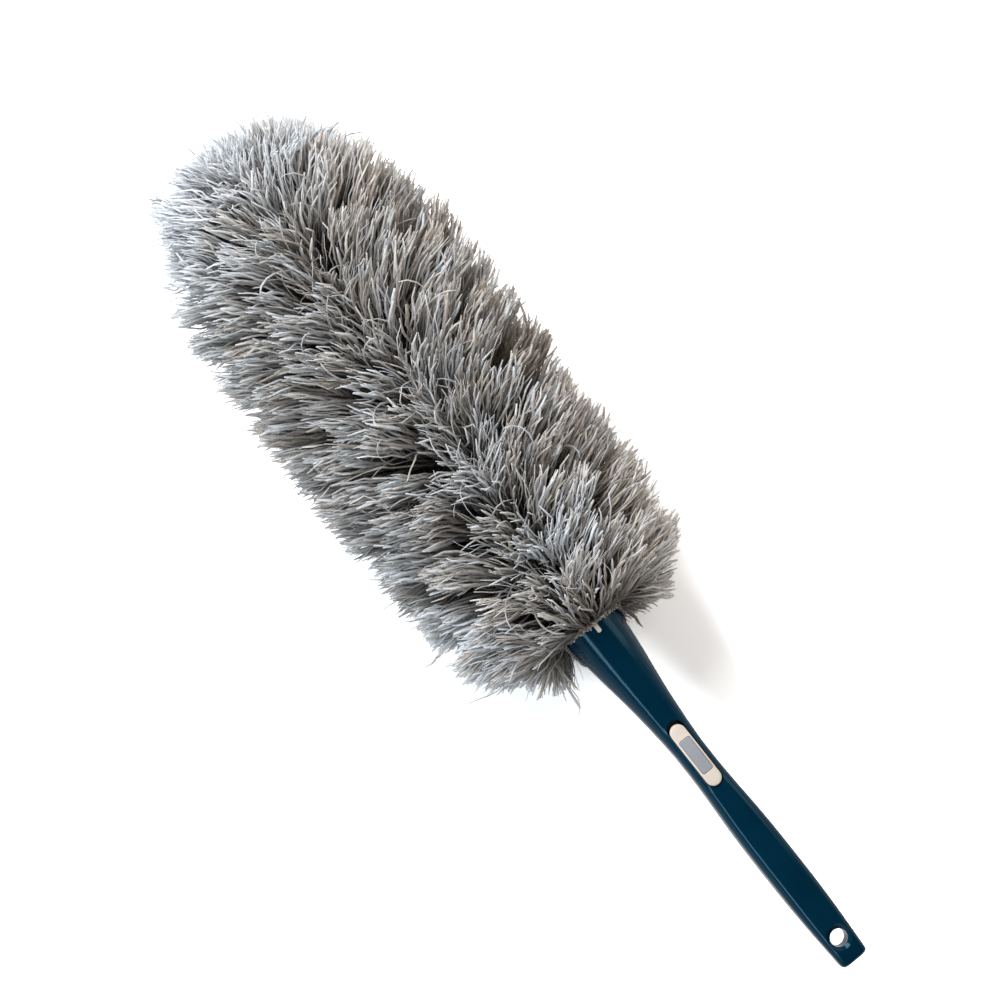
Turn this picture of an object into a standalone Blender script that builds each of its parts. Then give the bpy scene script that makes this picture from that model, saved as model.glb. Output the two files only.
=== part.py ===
"""A hand duster with a removable, washable strand sleeve.

The hollow handle is moulded in a front and a back shell. Its wide end is a socket for the
plug of the head, and a sprung button in the neck holds that plug by a hook. The head is a
flat paddle on the plug, and the strand sleeve is drawn over the paddle.

Everything is drawn from the middle of the socket's rim: +X runs along the head to its tip,
the handle runs along -X, and +Z is the side with the button. The duster lies with the
underside of its strands on z = 0.
"""

import math

import bmesh
import bpy
from mathutils import Matrix, Vector

# Whole object
handle_length = 0.2550
head_length = 0.3660
axis_height = 0.0450
touching_gap = 0.0003
cut_overrun = 0.0200

# Handle, outside. Distances are from the rim, sizes are full widths or heights from the axis.
rim_diameter = 0.0360
rim_straight = 0.0080
neck_start = 0.0940
neck_end = 0.1080
neck_width = 0.0186
neck_rise = 0.0102
neck_drop = 0.0104
grip_start = 0.1800
grip_end = 0.1940
grip_width = 0.0228
grip_rise = 0.0104
grip_drop = 0.0112
end_width = 0.0186
end_rise = 0.0066
end_drop = 0.0076
end_round = 0.0026
handle_wall = 0.0022
end_wall = 0.0028

# Roundness of the sections: 1 is an ellipse, and less leaves flats between the corners.
rim_corner_share = 0.97
neck_corner_share = 0.66
grip_corner_share = 0.60
end_corner_share = 0.55
corner_steps = 5
end_round_steps = 4

# How far the socket has narrowed to the neck's size, along its taper
socket_taper_shares = (
    (0.08, 0.035), (0.17, 0.13), (0.27, 0.26), (0.37, 0.40), (0.48, 0.55),
    (0.60, 0.695), (0.72, 0.81), (0.86, 0.92),
)
# How far the neck has swelled to the grip's size
grip_swell_shares = (
    (0.12, 0.08), (0.26, 0.26), (0.40, 0.50), (0.54, 0.73), (0.70, 0.90), (0.85, 0.975),
)
# How far the grip has thinned to the end's size: width, front and back
end_taper_shares = (
    (0.12, 0.03, 0.08, 0.16), (0.24, 0.08, 0.18, 0.48), (0.36, 0.16, 0.30, 0.82),
    (0.46, 0.25, 0.40, 1.0), (0.58, 0.39, 0.54, 1.0), (0.72, 0.58, 0.70, 1.0),
    (0.86, 0.79, 0.86, 1.0),
)

# Handle, inside
seam_gap = 0.0003
locating_places = (0.1440, 0.2080)
locating_boss_radius = 0.0031
locating_pin_radius = 0.0015
locating_pin_height = 0.0040
locating_clearance = 0.0003
grip_rib_places = (0.1600, 0.1760, 0.1920)
grip_rib_thickness = 0.0014
grip_rib_height = 0.0042
small_round_segments = 20

# Hanging hole through both shells, with a dished edge on each side
hang_hole_radius = 0.0055
hang_hole_from_end = 0.0170
hang_tube_wall = 0.0015
hang_dish_radius = 0.0083
hang_dish_depth = 0.0024
hang_segments = 32

# Release button in the neck
button_front = 0.0765
button_length = 0.0442
button_width = 0.0103
button_rise = 0.0003
button_skirt = 0.0056
button_wall = 0.0014
button_round = 0.0010
button_travel = 0.0025
window_side_gap = 0.0006
window_front_gap = 0.0030
window_rear_gap = 0.0009
lip_hold = 0.0015
lip_width = 0.0076
lip_thickness = 0.0014
stadium_steps = 10
inlay_length = 0.0237
inlay_width = 0.0075
inlay_corner = 0.0012
inlay_depth = 0.0010
inlay_rise = 0.0003

# Hook on the button and catch in the plug
hook_width = 0.0054
hook_thickness = 0.0022
hook_nose_length = 0.0024
hook_pressed_gap = 0.0009
hook_clearance = 0.0005
catch_thickness = 0.0030
catch_width = 0.0090
catch_from_axis = 0.0041

# Return spring under the button, standing on a post in the back shell
spring_radius = 0.0031
spring_wire_radius = 0.0004
spring_turns = 6
spring_turn_points = 10
post_radius = 0.0020
post_height = 0.0055

# Plug and neck of the head
plug_length = 0.0620
plug_fit = 0.0003
plug_wall = 0.0018
plug_solid_front = 0.0100
key_width = 0.0027
key_length = 0.0052
key_below_rim = 0.0002
notch_side_gap = 0.0003
collar_step = 0.0015
collar_length = 0.0050
stem_step = 0.0030
stem_round_end = 0.0100
stem_flat_start = 0.0260
stem_flat_rise = 0.0075
stem_length = 0.0400
stem_end_rise = 0.0048
stem_flat_corner_share = 0.80

# Paddle inside the sleeve
paddle_width = 0.0340
paddle_thickness = 0.0050
paddle_edge_round = 0.0013
fork_wall = 0.0020
tang_thickness = 0.0040
tang_length = 0.0195
tang_clearance = 0.0003
pin_radius = 0.0015
pin_spread = 0.0070
pin_clearance = 0.0003
paddle_window_length = 0.0420
paddle_window_width = 0.0180
paddle_window_web = 0.0110
paddle_window_round = 0.0060
paddle_end_web = 0.0140
paddle_tip_steps = 12

# Sleeve: cuff, then slices of backing with their strands, then the closed tip
hem_clearance = 0.0006
hem_wall = 0.0025
hem_front = 0.0018
hem_droop = 0.0250
hem_length = 0.0100
hem_segments = 36
elastic_width = 0.0034
elastic_thickness = 0.0010
elastic_clearance = 0.0003
elastic_from_seam = 0.0018
# How far back the hem's edge lies, by its place round the cuff from the top towards +Y
hem_droop_shares = (
    (0.0, 0.0), (0.22, 0.0), (0.26, 0.08), (0.30, 0.42), (0.34, 0.80), (0.39, 1.0), (0.56, 1.0),
    (0.67, 0.70), (0.75, 0.36), (0.83, 0.13), (0.92, 0.03), (1.0, 0.0),
)
row_count = 17
strands_around = 26
sleeve_width = 0.0560
sleeve_height = 0.0160
cuff_step = 0.0014
sleeve_fit = 0.0005
hole_corner = 0.0012
gather_end = 0.0470
sleeve_end_share = 0.885
tip_cap_length = 0.0080
tip_cap_width = 0.0400
tip_cap_height = 0.0110

# The head's fluff around the axis, and the outline it follows along its length
head_width = 0.1720
head_rise = 0.0580
head_drop = 0.0535
head_fullness_share = 0.86
underside_fuller_share = 0.08
head_outline_shares = (
    (-0.05, 0.62), (0.00, 0.72), (0.03, 0.84), (0.07, 0.90), (0.14, 0.94), (0.30, 0.955),
    (0.36, 0.985), (0.45, 1.0), (0.72, 1.0), (0.78, 0.97), (0.83, 0.92), (0.88, 0.83),
    (0.92, 0.73), (0.96, 0.62), (1.00, 0.46),
)
# How far a strand leans to the tip, as a share of the head's length
strand_lean_shares = (
    (0.00, -0.075), (0.08, -0.015), (0.18, 0.035), (0.35, 0.065), (0.60, 0.080), (1.00, 0.086),
)
# How much further back the strands beside the cuff lean, and where along the head that ends
cuff_flare_share = 0.09
cuff_flare_end_share = 0.12
strand_lift_share = 0.62
strand_bend_share = 0.36
strand_middle_shares = (0.46, 0.74)
strand_tip_shares = (0.26, 0.50)
strand_shortest_share = 0.88
parting_share = 0.035
tip_reach_shares = (0.970, 0.985)
tip_spread_shares = (0.36, 0.34)
tip_middle_share = 0.40
tip_end_share = 0.26

# Colours, as linear red, green and blue
navy = (0.0035, 0.028, 0.050)
cream = (0.72, 0.64, 0.56)
pad_grey = (0.37, 0.40, 0.43)
strand_grey = (0.19, 0.185, 0.185)
hem_grey = (0.25, 0.25, 0.26)
steel = (0.55, 0.55, 0.56)
elastic_white = (0.60, 0.60, 0.60)


def mix(first, second, share):
    return first + (second - first) * share


def from_table(table, share):
    """The value that a table of (place, value) pairs gives at a place."""
    if share <= table[0][0]:
        return table[0][1]
    for (low, start), (high, end) in zip(table, table[1:]):
        if share <= high:
            return mix(start, end, (share - low) / (high - low))
    return table[-1][1]


def clear_scene():
    for obj in list(bpy.data.objects):
        bpy.data.objects.remove(obj, do_unlink=True)


def make_material(name, colour, roughness, metallic=0.0):
    material = bpy.data.materials.new(name)
    material.use_nodes = True
    shader = material.node_tree.nodes["Principled BSDF"]
    shader.inputs["Base Color"].default_value = (*colour, 1.0)
    shader.inputs["Roughness"].default_value = roughness
    shader.inputs["Metallic"].default_value = metallic
    material.diffuse_color = (*colour, 1.0)
    return material


def add_empty(name, place, parent=None):
    empty = bpy.data.objects.new(name, None)
    empty.empty_display_size = axis_height
    bpy.context.collection.objects.link(empty)
    empty.parent = parent
    empty.location = place
    return empty


def add_object(name, bm, material, parent, offset=Vector((0.0, 0.0, 0.0))):
    """A named object from a mesh drawn from the rim's middle. The offset is the parent's own
    place from there."""
    bmesh.ops.recalc_face_normals(bm, faces=bm.faces)
    mesh = bpy.data.meshes.new(name)
    bm.to_mesh(mesh)
    bm.free()
    mesh.materials.append(material)
    mesh.shade_smooth()
    mesh.set_sharp_from_angle(angle=math.radians(35))
    obj = bpy.data.objects.new(name, mesh)
    bpy.context.collection.objects.link(obj)
    obj.parent = parent
    obj.location = -offset
    return obj


def add_guide(name, bm, parent, offset=Vector((0.0, 0.0, 0.0))):
    obj = add_object(name, bm, guide_material, parent, offset)
    obj.hide_render = True
    obj.display_type = "WIRE"
    return obj


def combine(obj, other, operation):
    modifier = obj.modifiers.new(other.name, "BOOLEAN")
    modifier.operation = operation
    modifier.object = other


def loft(bm, rings, closed=False):
    """Skins rings of points. The ends are capped, or joined to each other on a closed band."""
    loops = [[bm.verts.new(point) for point in ring] for ring in rings]
    pairs = list(zip(loops, loops[1:]))
    if closed:
        pairs.append((loops[-1], loops[0]))
    for first, second in pairs:
        count = len(first)
        for i in range(count):
            j = (i + 1) % count
            bm.faces.new((first[i], first[j], second[j], second[i]))
    if not closed:
        bm.faces.new(loops[0])
        bm.faces.new(loops[-1])
    return loops


def add_cylinder(bm, radius, low, high, x, y, segments, top_radius=None):
    """An upright cylinder or cone between two heights."""
    bmesh.ops.create_cone(
        bm,
        cap_ends=True,
        segments=segments,
        radius1=radius,
        radius2=radius if top_radius is None else top_radius,
        depth=high - low,
        matrix=Matrix.Translation((x, y, (low + high) / 2)),
    )


def add_box(bm, low, high):
    size = [b - a for a, b in zip(low, high)]
    middle = [(a + b) / 2 for a, b in zip(low, high)]
    matrix = Matrix.Translation(middle) @ Matrix.Diagonal((*size, 1.0))
    bmesh.ops.create_cube(bm, size=1.0, matrix=matrix)


def section(x, half_width, rise, drop, corner_share):
    """A rounded section across the axis, from the +Y side over the top and round."""
    corners = ((1, 1, rise, 0), (-1, 1, rise, 90), (-1, -1, drop, 180), (1, -1, drop, 270))
    ring = []
    for side, up, height, start in corners:
        for step in range(corner_steps + 1):
            angle = math.radians(start + 90 * step / corner_steps)
            y = side * half_width * (1 - corner_share) + half_width * corner_share * math.cos(angle)
            z = up * height * (1 - corner_share) + height * corner_share * math.sin(angle)
            ring.append((x, y, z))
    return ring


def stadium(z, front, rear, width):
    """A slot shape in plan between two distances from the rim, at one height."""
    radius = width / 2
    ring = []
    for centre, start in ((-front - radius, -90), (-rear + radius, 90)):
        for step in range(stadium_steps + 1):
            angle = math.radians(start + 180 * step / stadium_steps)
            ring.append((centre + radius * math.cos(angle), radius * math.sin(angle), z))
    return ring


def add_stadium(bm, low, high, front, rear, width):
    loft(bm, [stadium(low, front, rear, width), stadium(high, front, rear, width)])


def rounded_box(z, front, rear, width, radius):
    """A rectangle with round corners in plan between two distances from the rim, at one height."""
    side = width / 2 - radius
    ring = []
    centres = (
        (-front - radius, side, 0), (-rear + radius, side, 90),
        (-rear + radius, -side, 180), (-front - radius, -side, 270),
    )
    for x, y, turn in centres:
        for step in range(corner_steps):
            angle = math.radians(turn + 90 * step / (corner_steps - 1))
            ring.append((x + radius * math.cos(angle), y + radius * math.sin(angle), z))
    return ring


def handle_stations():
    """Distance from the rim, half width, rise, drop and corner share along the handle."""
    rim = (rim_diameter / 2, rim_diameter / 2, rim_diameter / 2, rim_corner_share)
    neck = (neck_width / 2, neck_rise, neck_drop, neck_corner_share)
    grip = (grip_width / 2, grip_rise, grip_drop, grip_corner_share)
    end = (end_width / 2, end_rise, end_drop, end_corner_share)
    end_flat = handle_length - end_round
    rows = [(0.0, *rim), (rim_straight, *rim)]
    for place, taper in socket_taper_shares:
        sizes = [mix(a, b, taper) for a, b in zip(rim, neck)]
        rows.append((mix(rim_straight, neck_start, place), *sizes))
    rows += [(neck_start, *neck), (neck_end, *neck)]
    for place, swell in grip_swell_shares:
        sizes = [mix(a, b, swell) for a, b in zip(neck, grip)]
        rows.append((mix(neck_end, grip_start, place), *sizes))
    rows += [(grip_start, *grip), (grip_end, *grip)]
    for place, across, front, back in end_taper_shares:
        shares = (across, front, back, across)
        sizes = [mix(a, b, share) for a, b, share in zip(grip, end, shares)]
        rows.append((mix(grip_end, end_flat, place), *sizes))
    for step in range(end_round_steps + 1):
        angle = math.radians(90 * step / end_round_steps)
        inward = end_round * (1 - math.cos(angle))
        place = end_flat + end_round * math.sin(angle)
        rows.append((place, end[0] - inward, end[1] - inward, end[2] - inward, end[3]))
    return rows


def handle_size(distance):
    """Half width, rise, drop and corner share of the handle at a distance from its rim."""
    rows = handle_stations()
    for first, second in zip(rows, rows[1:]):
        if distance <= second[0]:
            share = (distance - first[0]) / (second[0] - first[0])
            return [mix(a, b, share) for a, b in zip(first[1:], second[1:])]
    return list(rows[-1][1:])


def handle_ring(distance, inward=0.0):
    half_width, rise, drop, corner_share = handle_size(distance)
    return section(-distance, half_width - inward, rise - inward, drop - inward, corner_share)


def handle_rings(first, last, inward):
    """Rings along the handle between two distances, at its own stations in between."""
    inner = [row[0] for row in handle_stations() if first < row[0] < last]
    return [handle_ring(place, inward) for place in (first, *inner, last)]


def make_handle_shell(name, up):
    """One half of the handle: up is 1 for the front shell and -1 for the back shell."""
    seam = seam_gap / 2
    deepest = rim_diameter + cut_overrun
    size_index = 1 if up > 0 else 2

    def surface(distance):
        return handle_size(distance)[size_index]

    def span(inner, outer):
        return (inner, outer) if up > 0 else (-outer, -inner)

    bm = bmesh.new()
    loft(bm, handle_rings(0.0, handle_length, 0.0))
    shell = add_object(name, bm, navy_plastic, handle_axis)

    bm = bmesh.new()
    low, high = span(seam, deepest)
    add_box(bm, (-handle_length - cut_overrun, -deepest, low), (cut_overrun, deepest, high))
    combine(shell, add_guide(f"{name}_half", bm, handle_axis), "INTERSECT")

    bm = bmesh.new()
    cavity = handle_rings(0.0, handle_length - end_wall, handle_wall)
    mouth = [(cut_overrun, y, z) for _, y, z in cavity[0]]
    loft(bm, [mouth, *cavity])
    combine(shell, add_guide(f"{name}_cavity", bm, handle_axis), "DIFFERENCE")

    inside = []
    hole_at = handle_length - hang_hole_from_end
    embedded = handle_wall / 2
    tube_radius = hang_hole_radius + hang_tube_wall
    inside.append((tube_radius, hole_at, seam, surface(hole_at) - embedded))
    for place in locating_places:
        inside.append((locating_boss_radius, place, seam, surface(place) - embedded))
    if up < 0:
        for place in locating_places:
            inside.append((locating_pin_radius, place, -locating_pin_height, 2 * seam))
        foot = surface(button_middle)
        top = foot - handle_wall - post_height
        inside.append((post_radius, button_middle, top, foot - embedded))
    for number, (radius, place, inner, outer) in enumerate(inside):
        bm = bmesh.new()
        low, high = span(inner, outer)
        segments = hang_segments if radius == tube_radius else small_round_segments
        add_cylinder(bm, radius, low, high, -place, 0.0, segments)
        combine(shell, add_guide(f"{name}_inside_{number}", bm, handle_axis), "UNION")

    for number, place in enumerate(grip_rib_places):
        half_width = handle_size(place)[0] - handle_wall / 2
        ceiling = surface(place) - handle_wall
        low, high = span(ceiling - grip_rib_height, surface(place) + cut_overrun)
        bm = bmesh.new()
        half = grip_rib_thickness / 2
        sunk = handle_wall / 2
        loft(bm, [handle_ring(place - half, sunk), handle_ring(place + half, sunk)])
        rib = add_guide(f"{name}_rib_{number}", bm, handle_axis)
        bm = bmesh.new()
        reach = half_width + cut_overrun
        add_box(bm, (-place - cut_overrun, -reach, low), (-place + cut_overrun, reach, high))
        combine(rib, add_guide(f"{name}_rib_{number}_depth", bm, handle_axis), "INTERSECT")
        combine(shell, rib, "UNION")

    bm = bmesh.new()
    add_cylinder(bm, hang_hole_radius, -deepest, deepest, -hole_at, 0.0, hang_segments)
    combine(shell, add_guide(f"{name}_hang_hole", bm, handle_axis), "DIFFERENCE")
    bm = bmesh.new()
    face = surface(hole_at)
    widening = (hang_dish_radius - hang_hole_radius) / hang_dish_depth
    wide = hang_dish_radius + widening * hang_dish_depth
    low, high = span(face - hang_dish_depth, face + hang_dish_depth)
    narrow_end, wide_end = (hang_hole_radius, wide) if up > 0 else (wide, hang_hole_radius)
    add_cylinder(bm, narrow_end, low, high, -hole_at, 0.0, hang_segments, wide_end)
    combine(shell, add_guide(f"{name}_hang_dish", bm, handle_axis), "DIFFERENCE")
    return shell


def finish_front_shell(shell):
    """The button's window, the notch in the rim and the holes for the locating pins."""
    top = rim_diameter
    bm = bmesh.new()
    side = button_width + 2 * window_side_gap
    front, rear = button_front - window_front_gap, button_rear + window_rear_gap
    add_stadium(bm, seam_gap, top, front, rear, side)
    combine(shell, add_guide("window_cutter", bm, handle_axis), "DIFFERENCE")

    bm = bmesh.new()
    half = key_width / 2 + notch_side_gap
    depth = key_length + notch_side_gap
    notch_round = half / 2
    outline = (
        (cut_overrun, half), (-depth + notch_round, half), (-depth, half - notch_round),
        (-depth, -half + notch_round), (-depth + notch_round, -half), (cut_overrun, -half),
    )
    low = rim_diameter / 4
    loft(bm, [[(x, y, low) for x, y in outline], [(x, y, top) for x, y in outline]])
    combine(shell, add_guide("notch_cutter", bm, handle_axis), "DIFFERENCE")

    for number, place in enumerate(locating_places):
        bm = bmesh.new()
        radius = locating_pin_radius + locating_clearance
        depth = locating_pin_height + locating_clearance
        add_cylinder(bm, radius, -depth, depth, -place, 0.0, small_round_segments)
        combine(shell, add_guide(f"locating_hole_{number}", bm, handle_axis), "DIFFERENCE")


def make_button():
    """The button with its skirt, end lips, hook arm and the recess for the inlay."""
    top = neck_rise + button_rise
    bottom = top - button_skirt
    rings = [stadium(bottom, button_front, button_rear, button_width)]
    rings.append(stadium(top - button_round, button_front, button_rear, button_width))
    for angle in (30, 60, 90):
        inward = button_round * (1 - math.cos(math.radians(angle)))
        height = top - button_round * (1 - math.sin(math.radians(angle)))
        front, rear = button_front + inward, button_rear - inward
        rings.append(stadium(height, front, rear, button_width - 2 * inward))
    bm = bmesh.new()
    loft(bm, rings)
    button = add_object("release_button", bm, cream_plastic, button_guide, button_place)

    hollow_top = top - inlay_depth - button_wall
    bm = bmesh.new()
    inner = button_wall
    width = button_width - 2 * inner
    add_stadium(bm, bottom - cut_overrun, hollow_top, button_front + inner, button_rear - inner, width)
    combine(button, add_guide("button_hollow", bm, button_guide, button_place), "DIFFERENCE")

    lip_top = neck_rise - handle_wall - 2 * touching_gap
    lip_low = lip_top - lip_thickness
    bm = bmesh.new()
    front = -button_front + window_front_gap + lip_hold
    rear = -button_rear - window_rear_gap - lip_hold
    half = lip_width / 2
    add_box(bm, (-button_front - button_width / 2, -half, lip_low), (front, half, lip_top))
    combine(button, add_guide("button_front_lip", bm, button_guide, button_place), "UNION")
    bm = bmesh.new()
    add_box(bm, (rear, -half, lip_low), (-button_rear + button_width / 2, half, lip_top))
    combine(button, add_guide("button_rear_lip", bm, button_guide, button_place), "UNION")

    arm_top = catch_from_axis - hook_clearance
    arm_low = arm_top - hook_thickness
    nose_rear = -plug_length + catch_thickness + hook_clearance
    nose_front = nose_rear + hook_nose_length
    root = -button_front - button_width / 2
    nose_top = arm_top + hook_nose_height
    lip_middle = lip_low + lip_thickness / 2
    half = hook_width / 2
    bm = bmesh.new()
    outline = (
        (root, arm_low), (nose_front, arm_low), (nose_front, arm_top),
        (nose_rear + hook_nose_length / 2, nose_top), (nose_rear, nose_top), (nose_rear, arm_top),
        (-button_front + window_front_gap, arm_top), (-button_front + window_front_gap, lip_middle),
        (root, lip_middle),
    )
    loft(bm, [[(x, -half, z) for x, z in outline], [(x, half, z) for x, z in outline]])
    combine(button, add_guide("button_hook_arm", bm, button_guide, button_place), "UNION")

    slack = touching_gap
    middle = (button_front + button_rear) / 2
    bm = bmesh.new()
    front, rear = middle - inlay_length / 2, middle + inlay_length / 2
    around = (front - slack, rear + slack, inlay_width + 2 * slack, inlay_corner + slack)
    loft(bm, [rounded_box(z, *around) for z in (top - inlay_depth, top + cut_overrun)])
    combine(button, add_guide("inlay_recess", bm, button_guide, button_place), "DIFFERENCE")

    bm = bmesh.new()
    low, high = top - inlay_depth + slack, top + inlay_rise
    edge = inlay_rise
    around = (front, rear, inlay_width, inlay_corner)
    inside = (front + edge, rear - edge, inlay_width - 2 * edge, inlay_corner - edge)
    rings = [rounded_box(z, *around) for z in (low, high - edge)]
    loft(bm, [*rings, rounded_box(high, *inside)])
    add_object("button_inlay", bm, grey_pad, button_guide, button_place)
    return hollow_top


def make_spring(top):
    """A coil between the back shell's floor and the underside of the button."""
    low = -handle_size(button_middle)[2] + handle_wall + touching_gap + spring_wire_radius
    high = top - touching_gap - spring_wire_radius
    count = spring_turns * spring_turn_points
    curve = bpy.data.curves.new("button_spring", "CURVE")
    curve.dimensions = "3D"
    curve.bevel_depth = spring_wire_radius
    curve.bevel_resolution = 1
    curve.use_fill_caps = True
    spline = curve.splines.new("POLY")
    spline.points.add(count)
    for i, point in enumerate(spline.points):
        angle = 2 * math.pi * i / spring_turn_points
        x = -button_middle + spring_radius * math.cos(angle)
        point.co = (x, spring_radius * math.sin(angle), mix(low, high, i / count), 1.0)
    curve.materials.append(spring_steel)
    spring = bpy.data.objects.new("button_spring", curve)
    bpy.context.collection.objects.link(spring)
    spring.parent = button_guide
    spring.location = -button_place


def make_plug():
    """The head's plug, collar and forked neck, with the key and the catch for the hook."""
    inward = handle_wall + plug_fit
    rings = handle_rings(0.0, plug_length, inward)[::-1]
    collar_back = touching_gap
    collar_front = collar_back + collar_length
    collar = rim_diameter / 2 - collar_step
    stem = rim_diameter / 2 - stem_step
    rings.append([(collar_back, y, z) for _, y, z in rings[-1]])
    rings.append(section(collar_back, collar, collar, collar, rim_corner_share))
    rings.append(section(collar_front, collar, collar, collar, rim_corner_share))
    rings.append(section(collar_front, stem, stem, stem, rim_corner_share))
    rings.append(section(stem_round_end, stem, stem, stem, rim_corner_share))
    for place, rise in ((stem_flat_start, stem_flat_rise), (stem_length, stem_end_rise)):
        rings.append(section(place, stem, rise, rise, stem_flat_corner_share))
    bm = bmesh.new()
    loft(bm, rings)
    plug = add_object("stem_plug", bm, cream_plastic, head_guide)

    bm = bmesh.new()
    bore = handle_rings(plug_solid_front, plug_length, inward + plug_wall)
    back = [(-plug_length - cut_overrun, y, z) for _, y, z in bore[-1]]
    loft(bm, [*bore, back])
    combine(plug, add_guide("plug_bore", bm, head_guide), "DIFFERENCE")

    bm = bmesh.new()
    ceiling = handle_size(plug_length)[1] - inward - plug_wall
    half = catch_width / 2
    front = -plug_length + catch_thickness
    add_box(bm, (-plug_length, -half, catch_from_axis), (front, half, ceiling))
    combine(plug, add_guide("plug_catch", bm, head_guide), "UNION")

    bm = bmesh.new()
    half = key_width / 2
    outer = rim_diameter / 2 - key_below_rim
    base = rim_diameter / 2 - inward - plug_wall
    corner = half / 2
    front = collar_front - collar_length / 2
    outline = (
        (front, half), (-key_length + corner, half), (-key_length, half - corner),
        (-key_length, -half + corner), (-key_length + corner, -half), (front, -half),
    )
    loft(bm, [[(x, y, base) for x, y in outline], [(x, y, outer) for x, y in outline]])
    combine(plug, add_guide("plug_key", bm, head_guide), "UNION")

    bm = bmesh.new()
    half_width = tang_width / 2 + tang_clearance
    half_height = tang_thickness / 2 + tang_clearance
    start = stem_length - tang_length - tang_clearance
    end = stem_length + cut_overrun
    add_box(bm, (start, -half_width, -half_height), (end, half_width, half_height))
    combine(plug, add_guide("tang_slot", bm, head_guide), "DIFFERENCE")
    for side in (-1, 1):
        bm = bmesh.new()
        radius = pin_radius + pin_clearance
        y = side * pin_spread
        add_cylinder(bm, radius, -rim_diameter, rim_diameter, pin_place, y, small_round_segments)
        combine(plug, add_guide(f"stem_pin_hole_{side + 1}", bm, head_guide), "DIFFERENCE")


def make_paddle():
    """The flat paddle with its windows, its tang in the fork and the two pins through it."""
    half = paddle_width / 2
    start = stem_length + touching_gap
    end = sleeve_end - sleeve_fit
    outline = [(start, -tang_width / 2), (start, tang_width / 2)]
    outline.append((start + half - tang_width / 2, half))
    for step in range(paddle_tip_steps + 1):
        angle = math.radians(90 - 180 * step / paddle_tip_steps)
        outline.append((end - half + half * math.cos(angle), half * math.sin(angle)))
    outline.append((start + half - tang_width / 2, -half))
    thick = paddle_thickness / 2
    bm = bmesh.new()
    loft(bm, [[(x, y, -thick) for x, y in outline], [(x, y, thick) for x, y in outline]])
    paddle = add_object("paddle_frame", bm, cream_plastic, head_guide)
    bevel = paddle.modifiers.new("edge_round", "BEVEL")
    bevel.width = paddle_edge_round
    bevel.segments = 2
    bevel.limit_method = "ANGLE"
    bevel.angle_limit = math.radians(60)

    bm = bmesh.new()
    half_width, half_height = tang_width / 2, tang_thickness / 2
    back = stem_length - tang_length
    front = start + half - half_width
    add_box(bm, (back, -half_width, -half_height), (front, half_width, half_height))
    combine(paddle, add_guide("paddle_tang", bm, head_guide), "UNION")

    first = start + paddle_end_web
    pitch = paddle_window_length + paddle_window_web
    count = int((end - paddle_end_web - first + paddle_window_web) / pitch)
    for number in range(count):
        bm = bmesh.new()
        low, high = first + number * pitch, first + number * pitch + paddle_window_length
        around = (-high, -low, paddle_window_width, paddle_window_round)
        loft(bm, [rounded_box(z, *around) for z in (-paddle_thickness, paddle_thickness)])
        combine(paddle, add_guide(f"paddle_window_{number}", bm, head_guide), "DIFFERENCE")

    reach = stem_rise_at(pin_place) - touching_gap
    for side, name in ((-1, "frame_pin_right"), (1, "frame_pin_left")):
        bm = bmesh.new()
        radius = pin_radius + pin_clearance
        deep = paddle_thickness
        y = side * pin_spread
        add_cylinder(bm, radius, -deep, deep, pin_place, y, small_round_segments)
        combine(paddle, add_guide(f"tang_hole_{side + 1}", bm, head_guide), "DIFFERENCE")
        bm = bmesh.new()
        add_cylinder(bm, pin_radius, -reach, reach, pin_place, y, small_round_segments)
        add_object(name, bm, spring_steel, head_guide)


def stem_rise_at(x):
    share = (x - stem_flat_start) / (stem_length - stem_flat_start)
    return mix(stem_flat_rise, stem_end_rise, share)


def make_cuff():
    """The hem round the head's end of the socket, longest at the back towards +Y, and its elastic."""
    bore = rim_diameter / 2 + hem_clearance
    outer = bore + hem_wall
    seam = hem_length
    groove_front = seam - elastic_from_seam
    groove_back = groove_front - elastic_width - 2 * elastic_clearance
    groove = bore + elastic_thickness + elastic_clearance

    def band(radius, place):
        ring = []
        for step in range(hem_segments):
            angle = 2 * math.pi * step / hem_segments
            droop = hem_droop * from_table(hem_droop_shares, step / hem_segments)
            x = place if place is not None else hem_front - droop
            ring.append((x, radius * math.sin(angle), radius * math.cos(angle)))
        return ring

    bm = bmesh.new()
    rings = [band(outer, None), band(outer, seam), band(bore, seam), band(bore, groove_front)]
    rings += [band(groove, groove_front), band(groove, groove_back), band(bore, groove_back)]
    rings.append(band(bore, None))
    loft(bm, rings, closed=True)
    add_object("cuff_hem", bm, hem_cloth, sleeve_guide)

    inner = bore + elastic_clearance / 2
    front, back = groove_front - elastic_clearance, groove_back + elastic_clearance
    bm = bmesh.new()
    rings = [band(inner, back), band(inner + elastic_thickness, back)]
    rings += [band(inner + elastic_thickness, front), band(inner, front)]
    loft(bm, rings, closed=True)
    add_object("cuff_elastic", bm, elastic_cloth, sleeve_guide)


def oval_point(x, fraction, half_width, half_height):
    """A point round a flat oval, by length along it from the top middle towards +Y."""
    flat = half_width - half_height
    around = 4 * flat + 2 * math.pi * half_height
    along = (fraction % 1.0) * around
    turn = math.pi * half_height
    if along <= flat:
        return Vector((x, along, half_height))
    along -= flat
    if along <= turn:
        angle = along / half_height
        return Vector((x, flat + half_height * math.sin(angle), half_height * math.cos(angle)))
    along -= turn
    if along <= 2 * flat:
        return Vector((x, flat - along, -half_height))
    along -= 2 * flat
    if along <= turn:
        angle = along / half_height
        return Vector((x, -flat - half_height * math.sin(angle), -half_height * math.cos(angle)))
    return Vector((x, -flat + along - turn, half_height))


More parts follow.
